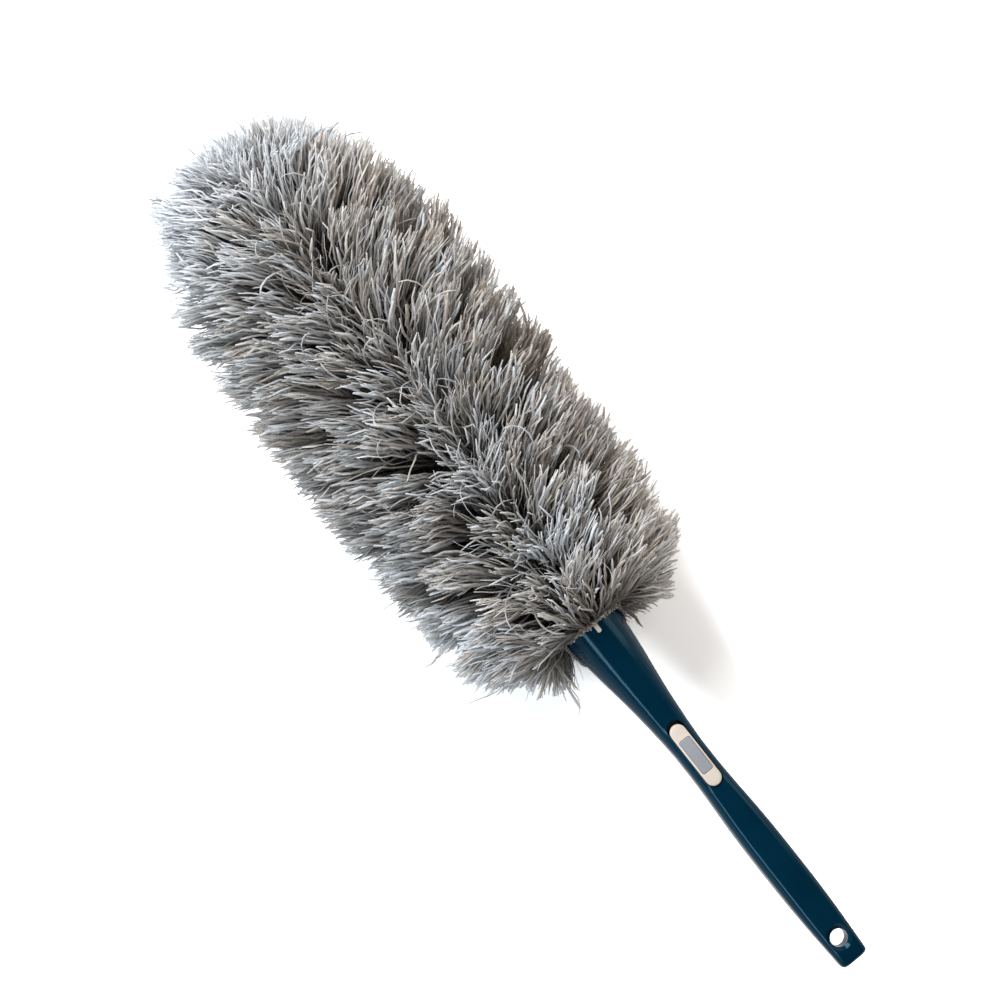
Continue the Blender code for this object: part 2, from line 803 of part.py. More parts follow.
def backing_size(x):
    """Half width and half height of the backing, which opens from the round cuff to a flat oval."""
    cuff = rim_diameter / 2 + hem_clearance + hem_wall + cuff_step
    share = min(1.0, (x - hem_length) / (gather_end - hem_length))
    return mix(cuff, sleeve_width / 2, share), mix(cuff, sleeve_height / 2, share)


def hole_ring(x):
    """The hollow of the backing: round at the cuff, and a slot that fits the paddle beyond it."""
    bore = rim_diameter / 2 + hem_clearance
    share = min(1.0, (x - hem_length) / (gather_end - hem_length))
    half_width = mix(bore, paddle_width / 2 + sleeve_fit, share)
    half_height = mix(bore, paddle_thickness / 2 + sleeve_fit, share)
    corner = mix(bore * (2 - math.sqrt(2)), hole_corner, share)
    sides = (
        (half_width, half_height - corner), (half_width - corner, half_height),
        (corner - half_width, half_height), (-half_width, half_height - corner),
        (-half_width, corner - half_height), (corner - half_width, -half_height),
        (half_width - corner, -half_height), (half_width, corner - half_height),
    )
    return [(x, y, z) for y, z in sides]


def variation(row, fraction):
    """A repeatable share between 0 and 1, alike on both sides of the head."""
    side = min(fraction % 1.0, 1 - fraction % 1.0)
    value = math.sin(row * 12.9898 + side * 78.233) * 43758.5453
    return value - math.floor(value)


def fluff_point(x, fraction):
    """A point on the outside of the head's fluff. The strands part along the top."""
    size = from_table(head_outline_shares, x / head_length)
    angle = 2 * math.pi * fraction
    across, up = math.sin(angle), math.cos(angle)
    half_width = head_width / 2 * size
    height = head_rise * size if up > 0 else head_drop * min(1.0, size + underside_fuller_share)
    y = half_width * math.copysign(abs(across) ** head_fullness_share, across)
    z = height * math.copysign(abs(up) ** head_fullness_share, up)
    return Vector((x, y, z))


def strand_lean(x, fraction, start):
    """How far a strand leans to the tip. In the rows by the cuff, those at the sides lean back."""
    aside = math.sin(2 * math.pi * fraction) ** 2
    near_cuff = max(0.0, 1 - start / head_length / cuff_flare_end_share)
    lean = from_table(strand_lean_shares, x / head_length)
    return head_length * (lean - cuff_flare_share * aside * near_cuff)


def parted(fraction, row):
    """Moves a strand's tip away from the parting on its own side of the top."""
    signed = (fraction + 0.5) % 1.0 - 0.5
    side = math.copysign(1.0, signed) if abs(signed) > 1e-6 else (-1.0) ** row
    return side * mix(parting_share, 0.5, abs(signed) * 2)


def on_floor(point):
    return Vector((point.x, point.y, max(point.z, -axis_height)))


def grow_strand(bm, face, middle, tip, middle_shares, tip_shares):
    """Draws one strand out of a face of the backing, through its bend to its tip."""
    centre = face.calc_center_median()
    shape = [vert.co - centre for vert in face.verts]
    for place, (along, round_share) in ((middle, middle_shares), (tip, tip_shares)):
        face = bmesh.ops.extrude_discrete_faces(bm, faces=[face])["faces"][0]
        for vert, offset in zip(face.verts, shape):
            stretched = Vector((offset.x * along, offset.y * round_share, offset.z * round_share))
            vert.co = on_floor(place + stretched)


def strand_places(root, fraction, row, reach):
    """Where a strand bends and where it ends."""
    tip = fluff_point(reach, parted(fraction, row))
    length = mix(strand_shortest_share, 1.0, variation(row, fraction))
    end = root + (tip - root) * length
    if tip.z <= -axis_height:
        end.z = -axis_height
    lean = end.x - root.x
    middle = root + (end - root) * strand_lift_share
    middle.x = root.x + lean * strand_bend_share
    return middle, end


def make_strand_row(row, start, end):
    """One slice of the sleeve's backing, with a strand drawn out of each face of its skin."""
    count = strands_around // 2
    first_size, last_size = backing_size(start), backing_size(end)
    bm = bmesh.new()
    turn = 0.5 * (row % 2)
    first = [oval_point(start, (i + turn) / count, *first_size) for i in range(count)]
    last = [oval_point(end, (i + turn + 0.5) / count, *last_size) for i in range(count)]
    first, last = [[bm.verts.new(point) for point in ring] for ring in (first, last)]
    skin = []
    for i in range(count):
        j = (i + 1) % count
        skin.append((bm.faces.new((first[i], first[j], last[i])), (i + turn + 0.5) / count))
        skin.append((bm.faces.new((last[i], first[j], last[j])), (i + turn + 1) / count))
    hole_first = [bm.verts.new(point) for point in hole_ring(start)]
    hole_last = [bm.verts.new(point) for point in hole_ring(end)]
    for i in range(len(hole_first)):
        j = (i + 1) % len(hole_first)
        bm.faces.new((hole_first[i], hole_last[i], hole_last[j], hole_first[j]))
    for outer, inner in ((first, hole_first), (last, hole_last)):
        edges = []
        for ring in (outer, inner):
            for i, vert in enumerate(ring):
                edges.append(bm.edges.get((vert, ring[(i + 1) % len(ring)])))
        bmesh.ops.triangle_fill(bm, edges=edges, use_beauty=True)
    for face, fraction in skin:
        root = face.calc_center_median()
        reach = root.x + strand_lean(root.x, fraction, start)
        places = strand_places(root, fraction, row, reach)
        grow_strand(bm, face, *places, strand_middle_shares, strand_tip_shares)
    add_object(f"strand_row_{row:02d}", bm, strand_yarn, sleeve_guide)


def make_tip_tuft(start):
    """The closed end of the sleeve, with strands round it and over its end."""
    count = strands_around // 2
    end = start + tip_cap_length
    turn = 0.5 * ((row_count + 1) % 2)
    size = (tip_cap_width / 2, tip_cap_height / 2)
    bm = bmesh.new()
    first = [oval_point(start, (i + turn) / count, *backing_size(start)) for i in range(count)]
    last = [oval_point(end, (i + turn + 0.5) / count, *size) for i in range(count)]
    first, last = [[bm.verts.new(point) for point in ring] for ring in (first, last)]
    middle = bm.verts.new((end, 0.0, 0.0))
    skin = []
    front = []
    for i in range(count):
        j = (i + 1) % count
        skin.append((bm.faces.new((first[i], first[j], last[i])), (i + turn + 0.5) / count, 0))
        skin.append((bm.faces.new((last[i], first[j], last[j])), (i + turn + 1) / count, 1))
        front.append((bm.faces.new((last[i], last[j], middle)), (i + turn + 1) / count))
    bm.faces.new(first)
    for face, fraction, ring in skin:
        root = face.calc_center_median()
        reach = tip_reach_shares[ring] * head_length
        places = strand_places(root, fraction, row_count + 1, reach)
        grow_strand(bm, face, *places, strand_middle_shares, strand_tip_shares)
    for face, fraction in front:
        root = face.calc_center_median()
        angle = 2 * math.pi * fraction
        across = head_width / 2 * tip_spread_shares[0] * math.sin(angle)
        up = head_rise * tip_spread_shares[1] * math.cos(angle)
        tip = Vector((head_length, across, up))
        middle_shares = (tip_middle_share, tip_middle_share)
        end_shares = (tip_end_share, tip_end_share)
        grow_strand(bm, face, mix(root, tip, strand_lift_share), tip, middle_shares, end_shares)
    add_object("tip_tuft", bm, strand_yarn, sleeve_guide)


def make_sleeve():
    make_cuff()
    start = hem_length + touching_gap
    pitch = (sleeve_end - start + touching_gap) / row_count
    for row in range(row_count):
        low = start + row * pitch
        make_strand_row(row + 1, low, low + pitch - touching_gap)
    make_tip_tuft(sleeve_end + touching_gap)


clear_scene()

navy_plastic = make_material("navy_plastic", navy, 0.22)
cream_plastic = make_material("cream_plastic", cream, 0.42)
grey_pad = make_material("grey_pad", pad_grey, 0.45)
spring_steel = make_material("spring_steel", steel, 0.30, 1.0)
strand_yarn = make_material("strand_yarn", strand_grey, 0.95)
hem_cloth = make_material("hem_cloth", hem_grey, 0.95)
elastic_cloth = make_material("elastic_cloth", elastic_white, 0.90)
guide_material = make_material("guide", steel, 0.50)

button_rear = button_front + button_length
button_middle = (button_front + button_rear) / 2
hook_nose_height = button_travel + hook_clearance - hook_pressed_gap
tang_width = rim_diameter - 2 * (stem_step + fork_wall)
pin_place = stem_length - tang_length / 2
sleeve_end = head_length * sleeve_end_share
button_place = Vector((-button_middle, 0.0, 0.0))

rim_place = Vector(((handle_length - head_length) / 2, 0.0, axis_height))
handle_axis = add_empty("handle_axis", rim_place)
button_guide = add_empty("button_guide", button_place, handle_axis)
head_guide = add_empty("head_guide", Vector((0.0, 0.0, 0.0)), handle_axis)
sleeve_guide = add_empty("sleeve_guide", Vector((0.0, 0.0, 0.0)), head_guide)

finish_front_shell(make_handle_shell("handle_front_shell", 1))
make_handle_shell("handle_back_shell", -1)
make_spring(make_button())
make_plug()
make_paddle()
make_sleeve()
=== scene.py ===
"""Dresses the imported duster: the yarn of the sleeve, its cloth, and the materials of the rest."""

import math

import bpy
import numpy as np
from mathutils import Matrix, Vector


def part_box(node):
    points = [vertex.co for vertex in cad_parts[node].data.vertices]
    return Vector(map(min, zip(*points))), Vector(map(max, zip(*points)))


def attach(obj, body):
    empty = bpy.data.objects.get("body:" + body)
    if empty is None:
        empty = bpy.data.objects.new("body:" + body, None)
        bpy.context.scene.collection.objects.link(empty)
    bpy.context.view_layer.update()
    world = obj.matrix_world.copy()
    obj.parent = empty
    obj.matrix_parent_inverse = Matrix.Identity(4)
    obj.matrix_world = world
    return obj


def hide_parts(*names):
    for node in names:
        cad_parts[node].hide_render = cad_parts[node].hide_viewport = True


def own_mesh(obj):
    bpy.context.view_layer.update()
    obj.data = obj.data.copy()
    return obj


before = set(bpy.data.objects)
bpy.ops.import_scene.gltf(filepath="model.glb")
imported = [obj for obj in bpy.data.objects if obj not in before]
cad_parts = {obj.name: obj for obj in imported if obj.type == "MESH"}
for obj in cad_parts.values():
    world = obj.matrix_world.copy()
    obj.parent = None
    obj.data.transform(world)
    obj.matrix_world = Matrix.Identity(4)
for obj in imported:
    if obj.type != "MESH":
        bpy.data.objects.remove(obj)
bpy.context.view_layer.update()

# The middle of the socket's rim, and the head's sizes measured from there, in metres
rim = np.array([-0.0555, 0.0, 0.0450])
head_length = 0.3660
head_half_width = 0.0860
head_rise = 0.0580
head_drop = 0.0535
side_roundness = 0.86
tip_aside = 0.0110
floor_gap = 0.0002
handle_wall = 0.0022

# The hem, and the knitted tube from the hem to its closed end
hem_start = 0.0018
hem_end = 0.0100
hem_droop = 0.0250
yarn_root_radius = 0.0210
yarn_least_radius = 0.0222
backing_start = 0.0103
backing_end = 0.3239
gather_end = 0.0470
cap_end = 0.3322
cuff_radius = 0.0225
backing_half_width = 0.0280
backing_half_height = 0.0080

# The head's outline along its length, as shares of its length and of its half width or rise
outline_shares = np.array([
    (-0.10, 0.46), (-0.05, 0.58), (-0.02, 0.68), (0.00, 0.78), (0.03, 0.91), (0.07, 0.97),
    (0.14, 0.975), (0.30, 0.985), (0.45, 1.0), (0.72, 1.0), (0.78, 0.97), (0.83, 0.92),
    (0.88, 0.83), (0.92, 0.73), (0.96, 0.62), (1.00, 0.46),
])
mouth_shares = np.array([
    (-0.10, 0.38), (-0.03, 0.42), (0.00, 0.47), (0.03, 0.64), (0.06, 0.80), (0.10, 0.92), (0.14, 1.0),
])

# How far the yarn leans towards the tip, along the top and along the sides, in shares of the length
lean_shares = np.array([
    (0.00, 0.052), (0.10, 0.056), (0.18, 0.062), (0.35, 0.072),
    (0.60, 0.084), (0.75, 0.094), (0.90, 0.108), (1.00, 0.108),
])
side_lean_shares = np.array([
    (0.00, -0.105), (0.05, -0.066), (0.10, -0.018), (0.18, 0.036), (0.35, 0.066),
    (0.60, 0.080), (0.75, 0.090), (0.90, 0.108), (1.00, 0.108),
])

# How far back the hem's edge lies, by its place round the cuff from the top towards +Y
hem_droop_shares = np.array([
    (0.0, 0.0), (0.22, 0.0), (0.26, 0.08), (0.30, 0.42), (0.34, 0.80), (0.39, 1.0), (0.56, 1.0),
    (0.67, 0.70), (0.75, 0.36), (0.83, 0.13), (0.92, 0.03), (1.0, 0.0),
])

# Half the handle's width at distances back from the rim
grip_half_widths = np.array([
    (0.0940, 0.0093), (0.1080, 0.0093), (0.1166, 0.0095), (0.1267, 0.0098), (0.1368, 0.0103),
    (0.1469, 0.0108), (0.1584, 0.0112), (0.1692, 0.0113), (0.1800, 0.0114), (0.1940, 0.0114),
    (0.2010, 0.0113), (0.2080, 0.0112), (0.2150, 0.0111), (0.2209, 0.0109), (0.2279, 0.0106),
    (0.2360, 0.0102), (0.2442, 0.0097), (0.2524, 0.0093),
])

# The yarn: its rows, strands and tufts
row_count = 17
strands_per_row = 680
cuff_rows = 4
more_in_cuff_rows = 220
strands_in_tip = 1700
mouth_strands = 760
edge_strands = 150
clumps_along = 22
clumps_around = 20
tip_tufts = 46
mouth_tufts = 34
strand_points = 11
strand_sides = 4
strand_radius = 0.00062
strand_flatness = 0.40
golden_turn = 0.6180339887


def smooth(low, high, value):
    share = np.clip((value - low) / (high - low), 0, 1)
    return share * share * (3 - 2 * share)


def from_table(table, value):
    return np.interp(value, table[:, 0], table[:, 1])


def near_cuff(x):
    return 1 - smooth(0.02, 0.08, x)


def near_tip(x):
    return smooth(0.24, 0.31, x)


def near_top(aside, start, end):
    """One over the top of the head, falling to none as aside goes from start to end either way."""
    return 1 - smooth(start, end, np.abs(aside))


def wrapped(turns):
    """Turns round the head from its top, as a number between -0.5 and 0.5."""
    return (turns + 0.5) % 1.0 - 0.5


def unit(vectors):
    return vectors / np.maximum(np.linalg.norm(vectors, axis=-1, keepdims=True), 1e-9)


def circled(x, radius, angle):
    """Points at a radius and an angle from the top towards +Y, x along the head."""
    return np.stack(np.broadcast_arrays(x, radius * np.sin(angle), radius * np.cos(angle)), -1)


def oval(fraction, half_width, half_height):
    """Points and normals round a flat oval, by length from the top middle towards +Y."""
    flat = half_width - half_height
    turn = math.pi * half_height
    along = (fraction % 1.0) * (4 * flat + 2 * turn)
    parts = [along <= flat, along <= flat + turn, along <= 3 * flat + turn, along <= 3 * flat + 2 * turn]
    right = (along - flat) / half_height
    left = (along - 3 * flat - turn) / half_height
    zero = np.zeros_like(along)
    y = np.select(parts, [
        along, flat + half_height * np.sin(right), 2 * flat + turn - along,
        -flat - half_height * np.sin(left),
    ], along - 4 * flat - 2 * turn)
    ny = np.select(parts, [zero, np.sin(right), zero, -np.sin(left)], 0.0)
    nz = np.select(parts, [zero + 1, np.cos(right), zero - 1, -np.cos(left)], 1.0)
    return y, half_height * nz, ny, nz


def backing_size(x):
    """Half the width and half the height of the backing, round at the cuff and flat from there."""
    share = np.clip((x - hem_end) / (gather_end - hem_end), 0, 1)
    return (cuff_radius + (backing_half_width - cuff_radius) * share,
            cuff_radius + (backing_half_height - cuff_radius) * share)


def fluff(x, turn):
    """A point on the outside of the fluff: turn is 0 at the top, 1 or -1 underneath."""
    size = from_table(outline_shares, x / head_length)
    top = np.minimum(size, from_table(mouth_shares, x / head_length))
    across, up = np.sin(math.pi * turn), np.cos(math.pi * turn)
    height = np.where(up > 0, head_rise * top, head_drop * np.minimum(1, size + 0.08))
    y = head_half_width * size * np.sign(across) * np.abs(across) ** side_roundness
    y = y + tip_aside * smooth(0.92, 1.0, x / head_length)
    z = height * np.sign(up) * np.abs(up) ** side_roundness
    return np.stack([x, y, z], axis=-1)


def make_object(name, vertices, quads, material, ends=()):
    """A smooth mesh object from arrays of points and four-sided faces, with flat ends if given."""
    mesh = bpy.data.meshes.new(name)
    faces = [np.asarray(group, np.int32) for group in (quads, ends) if len(group)]
    loops = np.concatenate([group.ravel() for group in faces])
    counts = np.concatenate([np.full(len(group), group.shape[1], np.int32) for group in faces])
    mesh.vertices.add(len(vertices))
    mesh.vertices.foreach_set("co", np.asarray(vertices, np.float32).ravel())
    mesh.loops.add(len(loops))
    mesh.loops.foreach_set("vertex_index", loops)
    mesh.polygons.add(len(counts))
    starts = np.concatenate([[0], np.cumsum(counts)[:-1]]).astype(np.int32)
    mesh.polygons.foreach_set("loop_start", starts)
    mesh.update(calc_edges=True)
    mesh.shade_smooth()
    if len(ends):
        mesh.polygons.foreach_set("use_smooth", np.arange(len(counts)) < len(quads))
    mesh.materials.append(material)
    obj = bpy.data.objects.new(name, mesh)
    bpy.context.scene.collection.objects.link(obj)
    return obj


def tubes(paths, radii, sides, flat=0.0, twist=0.0):
    """Points, faces and ends of many strands: paths is (strand, point, 3), radii (strand, point)."""
    count, points = radii.shape
    along = unit(np.gradient(paths, axis=1))
    side = np.empty_like(paths)
    helper = np.where(np.abs(along[:, 0, 2:3]) > 0.8, [[1.0, 0.0, 0.0]], [[0.0, 0.0, 1.0]])
    current = unit(np.cross(along[:, 0], helper))
    for i in range(points):
        current = unit(current - along[:, i] * (current * along[:, i]).sum(-1, keepdims=True))
        side[:, i] = current
    up = np.cross(along, side)
    cos, sin = np.cos(twist)[..., None], np.sin(twist)[..., None]
    side, up = side * cos + up * sin, up * cos - side * sin
    angle = 2 * math.pi * np.arange(sides) / sides
    wide, thin = (1 + flat) * np.cos(angle)[:, None], (1 - flat) * np.sin(angle)[:, None]
    ring = side[:, :, None] * wide + up[:, :, None] * thin
    vertices = paths[:, :, None] + ring * radii[:, :, None, None]
    index = np.arange(count * points * sides).reshape(count, points, sides)
    after = np.roll(index, -1, axis=2)
    quads = np.stack([index[:, :-1], after[:, :-1], after[:, 1:], index[:, 1:]], axis=-1).reshape(-1, 4)
    ends = np.concatenate([index[:, 0, ::-1], index[:, -1]]).reshape(-1, sides)
    return vertices.reshape(-1, 3), quads, ends


def strip_map(mesh, count, points, sides):
    """A map that gives each strand a strip of its own, so that its colours can be kept in an image."""
    columns = math.ceil(math.sqrt(count))
    cell = 1 / columns
    strand = np.arange(count)
    left = (strand % columns) * cell
    low = (strand // columns) * cell
    inset = 0.08 * cell
    u = np.linspace(inset, cell - inset, sides + 1)
    v = np.linspace(inset, cell - 3 * inset, points)
    here = np.zeros((count, points - 1, sides, 4, 2))
    here[..., 0] = left[:, None, None, None] + np.stack([u[:-1], u[1:], u[1:], u[:-1]], -1)[None, None]
    rise = np.stack([v[:-1], v[:-1], v[1:], v[1:]], -1)
    here[..., 1] = low[:, None, None, None] + rise[None, :, None]
    ends = np.zeros((2 * count, 4, 2))
    square = np.array([(0, 0), (1, 0), (1, 1), (0, 1)]) * inset
    for part, shift in ((slice(0, count), inset), (slice(count, None), 4 * inset)):
        ends[part, :, 0] = left[:, None] + shift + square[None, :, 0]
        ends[part, :, 1] = low[:, None] + cell - 2 * inset + square[None, :, 1]
    layer = mesh.uv_layers.new(name="OFBake")
    places = np.concatenate([here.reshape(-1), ends.reshape(-1)])
    layer.data.foreach_set("uv", places.astype(np.float32))


def add_value(mesh, name, values):
    attribute = mesh.attributes.new(name, "FLOAT", "POINT")
    attribute.data.foreach_set("value", np.asarray(values, np.float32).ravel())


def clumps(rng):
    """Where the yarn is sewn on in tufts, and how each tuft is bent and turned."""
    x = (np.arange(clumps_along) + 0.5) / clumps_along
    f = (np.arange(clumps_around) + 0.5) / clumps_around
    x, f = np.meshgrid(x, f, indexing="ij")
    x = (x + rng.uniform(-0.45, 0.45, x.shape) / clumps_along).ravel()
    f = (f + rng.uniform(-0.45, 0.45, f.shape) / clumps_around).ravel()
    count = len(x)
    return {
        "x": backing_start + x * (cap_end - backing_start),
        "f": f % 1.0,
        "slide": rng.normal(0, 0.0080, count),
        "turn": rng.normal(0, 0.028, count),
        "length": rng.normal(0.985, 0.085, count).clip(0.76, 1.08),
        "pull": rng.uniform(0.10, 0.58, count),
        "root": rng.uniform(0.75, 0.97, count),
        "droop": rng.uniform(0.2, 1.0, count),
        "tone": rng.normal(0, 1, count),
        "warm": rng.normal(0, 1, count),
    }


def nearest_clump(x, f, centres):
    pitch = (cap_end - backing_start) / clumps_along
    dx = (x[:, None] - centres["x"]) / pitch
    df = wrapped(f[:, None] - centres["f"])
    return np.argmin(dx * dx + (df * clumps_around) ** 2, axis=1)


def part_line(x):
    """Which way the parting along the top wanders."""
    return 0.016 * np.sin(x * 31) + 0.012 * np.sin(x * 67 + 1.3) + 0.008 * np.sin(x * 140 + 0.4)


def aim(x, f, slide, turn, length):
    """Where strands rooted at x and f end, and how far round the head, from -1 to 1."""
    signed = wrapped(f - part_line(x))
    away = np.abs(signed) * 2
    parting = 0.012 * smooth(0.045, 0.085, x) * (1 - smooth(0.21, 0.27, x))
    over = 0.5 * (away / 0.5) ** (1 + np.where(signed > 0, 0.25, 0.16) * smooth(0.04, 0.09, x))
    under = 1 - 0.5 * ((1 - away) / 0.5) ** 1.1
    spread = np.where(away < 0.5, parting + (1 - 2 * parting) * over, under)
    turned = np.clip(np.sign(signed) * spread + turn, -1.0, 1.0)
    share = x / head_length
    top = near_top(turned, 0.08, 0.70)
    ahead = 0.026 * near_top(turned, 0.04, 0.26) * smooth(0.10, 0.20, share)
    lean = (top * from_table(lean_shares, share) + ahead
            + (1 - top) * from_table(side_lean_shares, share))
    lean += np.where(turned < 0, 0.026, 0.0) * (1 - top) * (1 - smooth(0.03, 0.12, share))
    reach = x + lean * head_length + slide
    reach = np.where((np.abs(turned) < 0.3) & (share < 0.15), np.maximum(reach, 0.0060), reach)
    root_y, root_z, _, _ = oval(f, *backing_size(x))
    root = np.stack([x, root_y, root_z], -1)
    tip = fluff(np.clip(reach, -0.1 * head_length, 0.992 * head_length), turned)
    return root + (tip - root) * length[:, None], turned


def groom(rng, x, f, centres):
    """Paths of the strands rooted near x and f: they leave in tufts and spread to their tips."""
    count = len(x)
    which = nearest_clump(x, f, centres)
    own = rng.normal(0, 1, (count, 3))
    slide = centres["slide"][which] + 0.0026 * own[:, 0]
    turn = centres["turn"][which] * np.sign(wrapped(f)) + 0.010 * own[:, 1]
    length = centres["length"][which] * (0.965 + 0.034 * own[:, 2])
    tip, turned = aim(x, f, slide, turn, np.clip(length, 0.66, 1.06))
    centre_turn = centres["turn"][which] * np.sign(wrapped(centres["f"][which]))
    middle, _ = aim(centres["x"][which], centres["f"][which], centres["slide"][which],
                    centre_turn, centres["length"][which])
    between = rng.random(count) < 0.18 + 0.22 * smooth(0.22, 0.45, np.abs(turned))
    pull = centres["pull"][which] * rng.uniform(0.5, 1.1, count)
    pull *= (1 - 0.55 * smooth(0.25, 0.50, np.abs(turned))) * np.where(between, 0.3, 1.0)
    pull *= 1 - 0.45 * near_tip(x)
    pull = np.where(np.sign(tip[:, 1]) * np.sign(middle[:, 1]) < 0, 0.0, pull)
    tip = tip + (middle - tip) * pull[:, None]

    gather = centres["root"][which] * np.where(between, rng.uniform(0.0, 0.5, count), 1.0)
    f = f + wrapped(centres["f"][which] - f) * gather
    x = np.clip(x + (centres["x"][which] - x) * gather, backing_start + 0.0008, backing_end)
    root_y, root_z, ny, nz = oval(f, *backing_size(x))
    root = np.stack([x, root_y, root_z], -1)
    normal = np.stack([np.zeros(count), ny, nz], -1)
    tip, loose = stray(rng, tip, turned)
    path = bend(rng, root, normal, tip, turned, centres["droop"][which], loose)
    chosen = loose & (np.abs(turned) < 0.2) & (rng.random(count) < 0.24) & (x < 0.29)
    return curl_over(rng, path, chosen), which, loose


def stray(rng, tip, turned):
    """Some strands lie loose across the others, most of them over the parting."""
    count = len(tip)
    over_parting = near_top(turned, 0.05, 0.20) * smooth(0.02, 0.07, tip[:, 0])
    loose = rng.random(count) < 0.025 + 0.22 * over_parting
    shift = rng.normal(0, 1, (count, 3)).clip(-1.8, 1.8) * [0.012, 0.014, 0.0012]
    return tip + shift * loose[:, None], loose


def curl_over(rng, path, chosen):
    """Turns the outer part of the chosen strands over in an arc that lies on the others."""
    count = chosen.sum()
    old = path[chosen]
    start, kept_share = 4, 0.68
    for i in range(1, start + 1):
        place = i / start * kept_share * (strand_points - 1)
        share = place - int(place)
        path[chosen, i] = old[:, int(place)] * (1 - share) + old[:, int(place) + 1] * share
    place = path[chosen, start]
    level = unit((old[:, -1] - old[:, start]) * [1, 1, 0.1])
    side = unit(np.cross([0.0, 0.0, 1.0], level))
    turn = rng.choice([-1.0, 1.0], (count, 1)) * rng.uniform(0.5, 2.6, (count, 1))
    rise = (old[:, -1, 2] + rng.uniform(-0.001, 0.002, count) - place[:, 2]).clip(0.0, 0.020)
    steps = strand_points - 1 - start
    pace = rng.uniform(0.020, 0.034, (count, 1)) / steps
    for i in range(1, steps + 1):
        share = i / steps
        angle = turn * share ** 1.3
        place = place + pace * (level * np.cos(angle) + side * np.sin(angle))
        place[:, 2] += rise * (1.7 / steps if share < 0.5 else 0.3 / steps)
        path[chosen, start + i] = place
    return path


def bend(rng, root, normal, tip, turned, droop, loose):
    """Curves each strand from its root along the backing's normal to its tip, with kinks."""
    count = len(root)
    reach = tip - root
    length = np.linalg.norm(reach, axis=1, keepdims=True)
    straight = reach / length
    first = unit(0.62 * normal + 0.38 * straight)
    swing = np.stack([
        np.full(count, 0.25), np.sign(turned) * np.cos(math.pi * turned * 0.9),
        -np.abs(np.sin(math.pi * turned)),
    ], -1)
    swing = swing * (near_top(turned, 0.35, 0.8) * droop)[:, None]
    last = unit(straight + swing)
    low = root + first * length * 0.36
    high = tip - last * length * 0.34
    u = np.linspace(0, 1, strand_points)[None, :, None]
    path = ((1 - u) ** 3 * root[:, None] + 3 * u * (1 - u) ** 2 * low[:, None]
            + 3 * u * u * (1 - u) * high[:, None] + u ** 3 * tip[:, None])
    one = unit(np.cross(straight, rng.normal(0, 1, (count, 3))))
    two = np.cross(straight, one)
    share = u[:, :, 0]
    for axis in (one, two):
        for low_waves, high_waves, mean in ((0.8, 2.0, 0.00070), (2.2, 4.8, 0.00030)):
            waves = rng.uniform(low_waves, high_waves, (count, 1))
            phase = rng.uniform(0, 2 * math.pi, (count, 1))
            size = rng.gamma(2.0, mean, (count, 1)) * (length / 0.070).clip(0.3, 1.1)
            wave = np.sin(2 * math.pi * waves * share + phase) * size * smooth(0.0, 0.4, share)
            path += axis[:, None] * wave[:, :, None]
    curl = rng.normal(0, 1, (count, 1)).clip(-2, 2)
    own_curl = 0.0019 + 0.0013 * near_top(turned, 0.10, 0.30)[:, None]
    curl = curl * np.where(loose[:, None], 0.0085, own_curl)
    path += one[:, None] * (curl * share ** 2.2)[:, :, None]
    end = rng.normal(0, 0.0014, (count, 1)) * smooth(0.62, 1.0, share)
    path += two[:, None] * end[:, :, None]
    return path


def within(values, most, more):
    """Bends values beyond most so that none passes most and more."""
    beyond = most + more * np.tanh((np.abs(values) - most) / more)
    return np.where(np.abs(values) > most, np.sign(values) * beyond, values)


def keep_clear(path, radii):
    """Holds the strands above the floor, and off the hem and the socket."""
    around = np.hypot(path[..., 1], path[..., 2])
    least = np.where(path[..., 0] < hem_end + 0.001, yarn_least_radius, 0.0)
    grow = np.where(around < least, least / np.maximum(around, 1e-6), 1.0)
    path[..., 1] *= grow
    path[..., 2] *= grow
    path[..., 1] = within(path[..., 1], head_half_width, 0.009)
    path[..., 2] = within(path[..., 2], head_rise, 0.008)
    floor = -rim[2] + radii + floor_gap
    soft = 0.004
    low = path[..., 2] < floor + soft
    squeezed = floor + soft * np.exp((path[..., 2] - floor - soft) / soft)
    path[..., 2] = np.where(low, np.maximum(squeezed, floor), path[..., 2])
    return path


def strand_radii(rng, count, loose):
    """Radii along each strand. One in ten is half as thick, and the loose ones are thinner."""
    share = np.linspace(0, 1, strand_points)
    profile = np.interp(share, [0, 0.15, 0.55, 0.90, 1.0], [0.80, 0.88, 1.0, 1.02, 0.50])
    size = rng.normal(strand_radius, 0.00012, (count, 1)).clip(0.00036, 0.00094)
    size = np.where(rng.random((count, 1)) < 0.10, 0.5 * size, size)
    size = size * np.where(loose, 0.68, 1.0)[:, None]
    uneven = 1 + 0.15 * rng.normal(0, 1, (count, strand_points))
    return size * profile[None] * uneven.clip(0.70, 1.30)


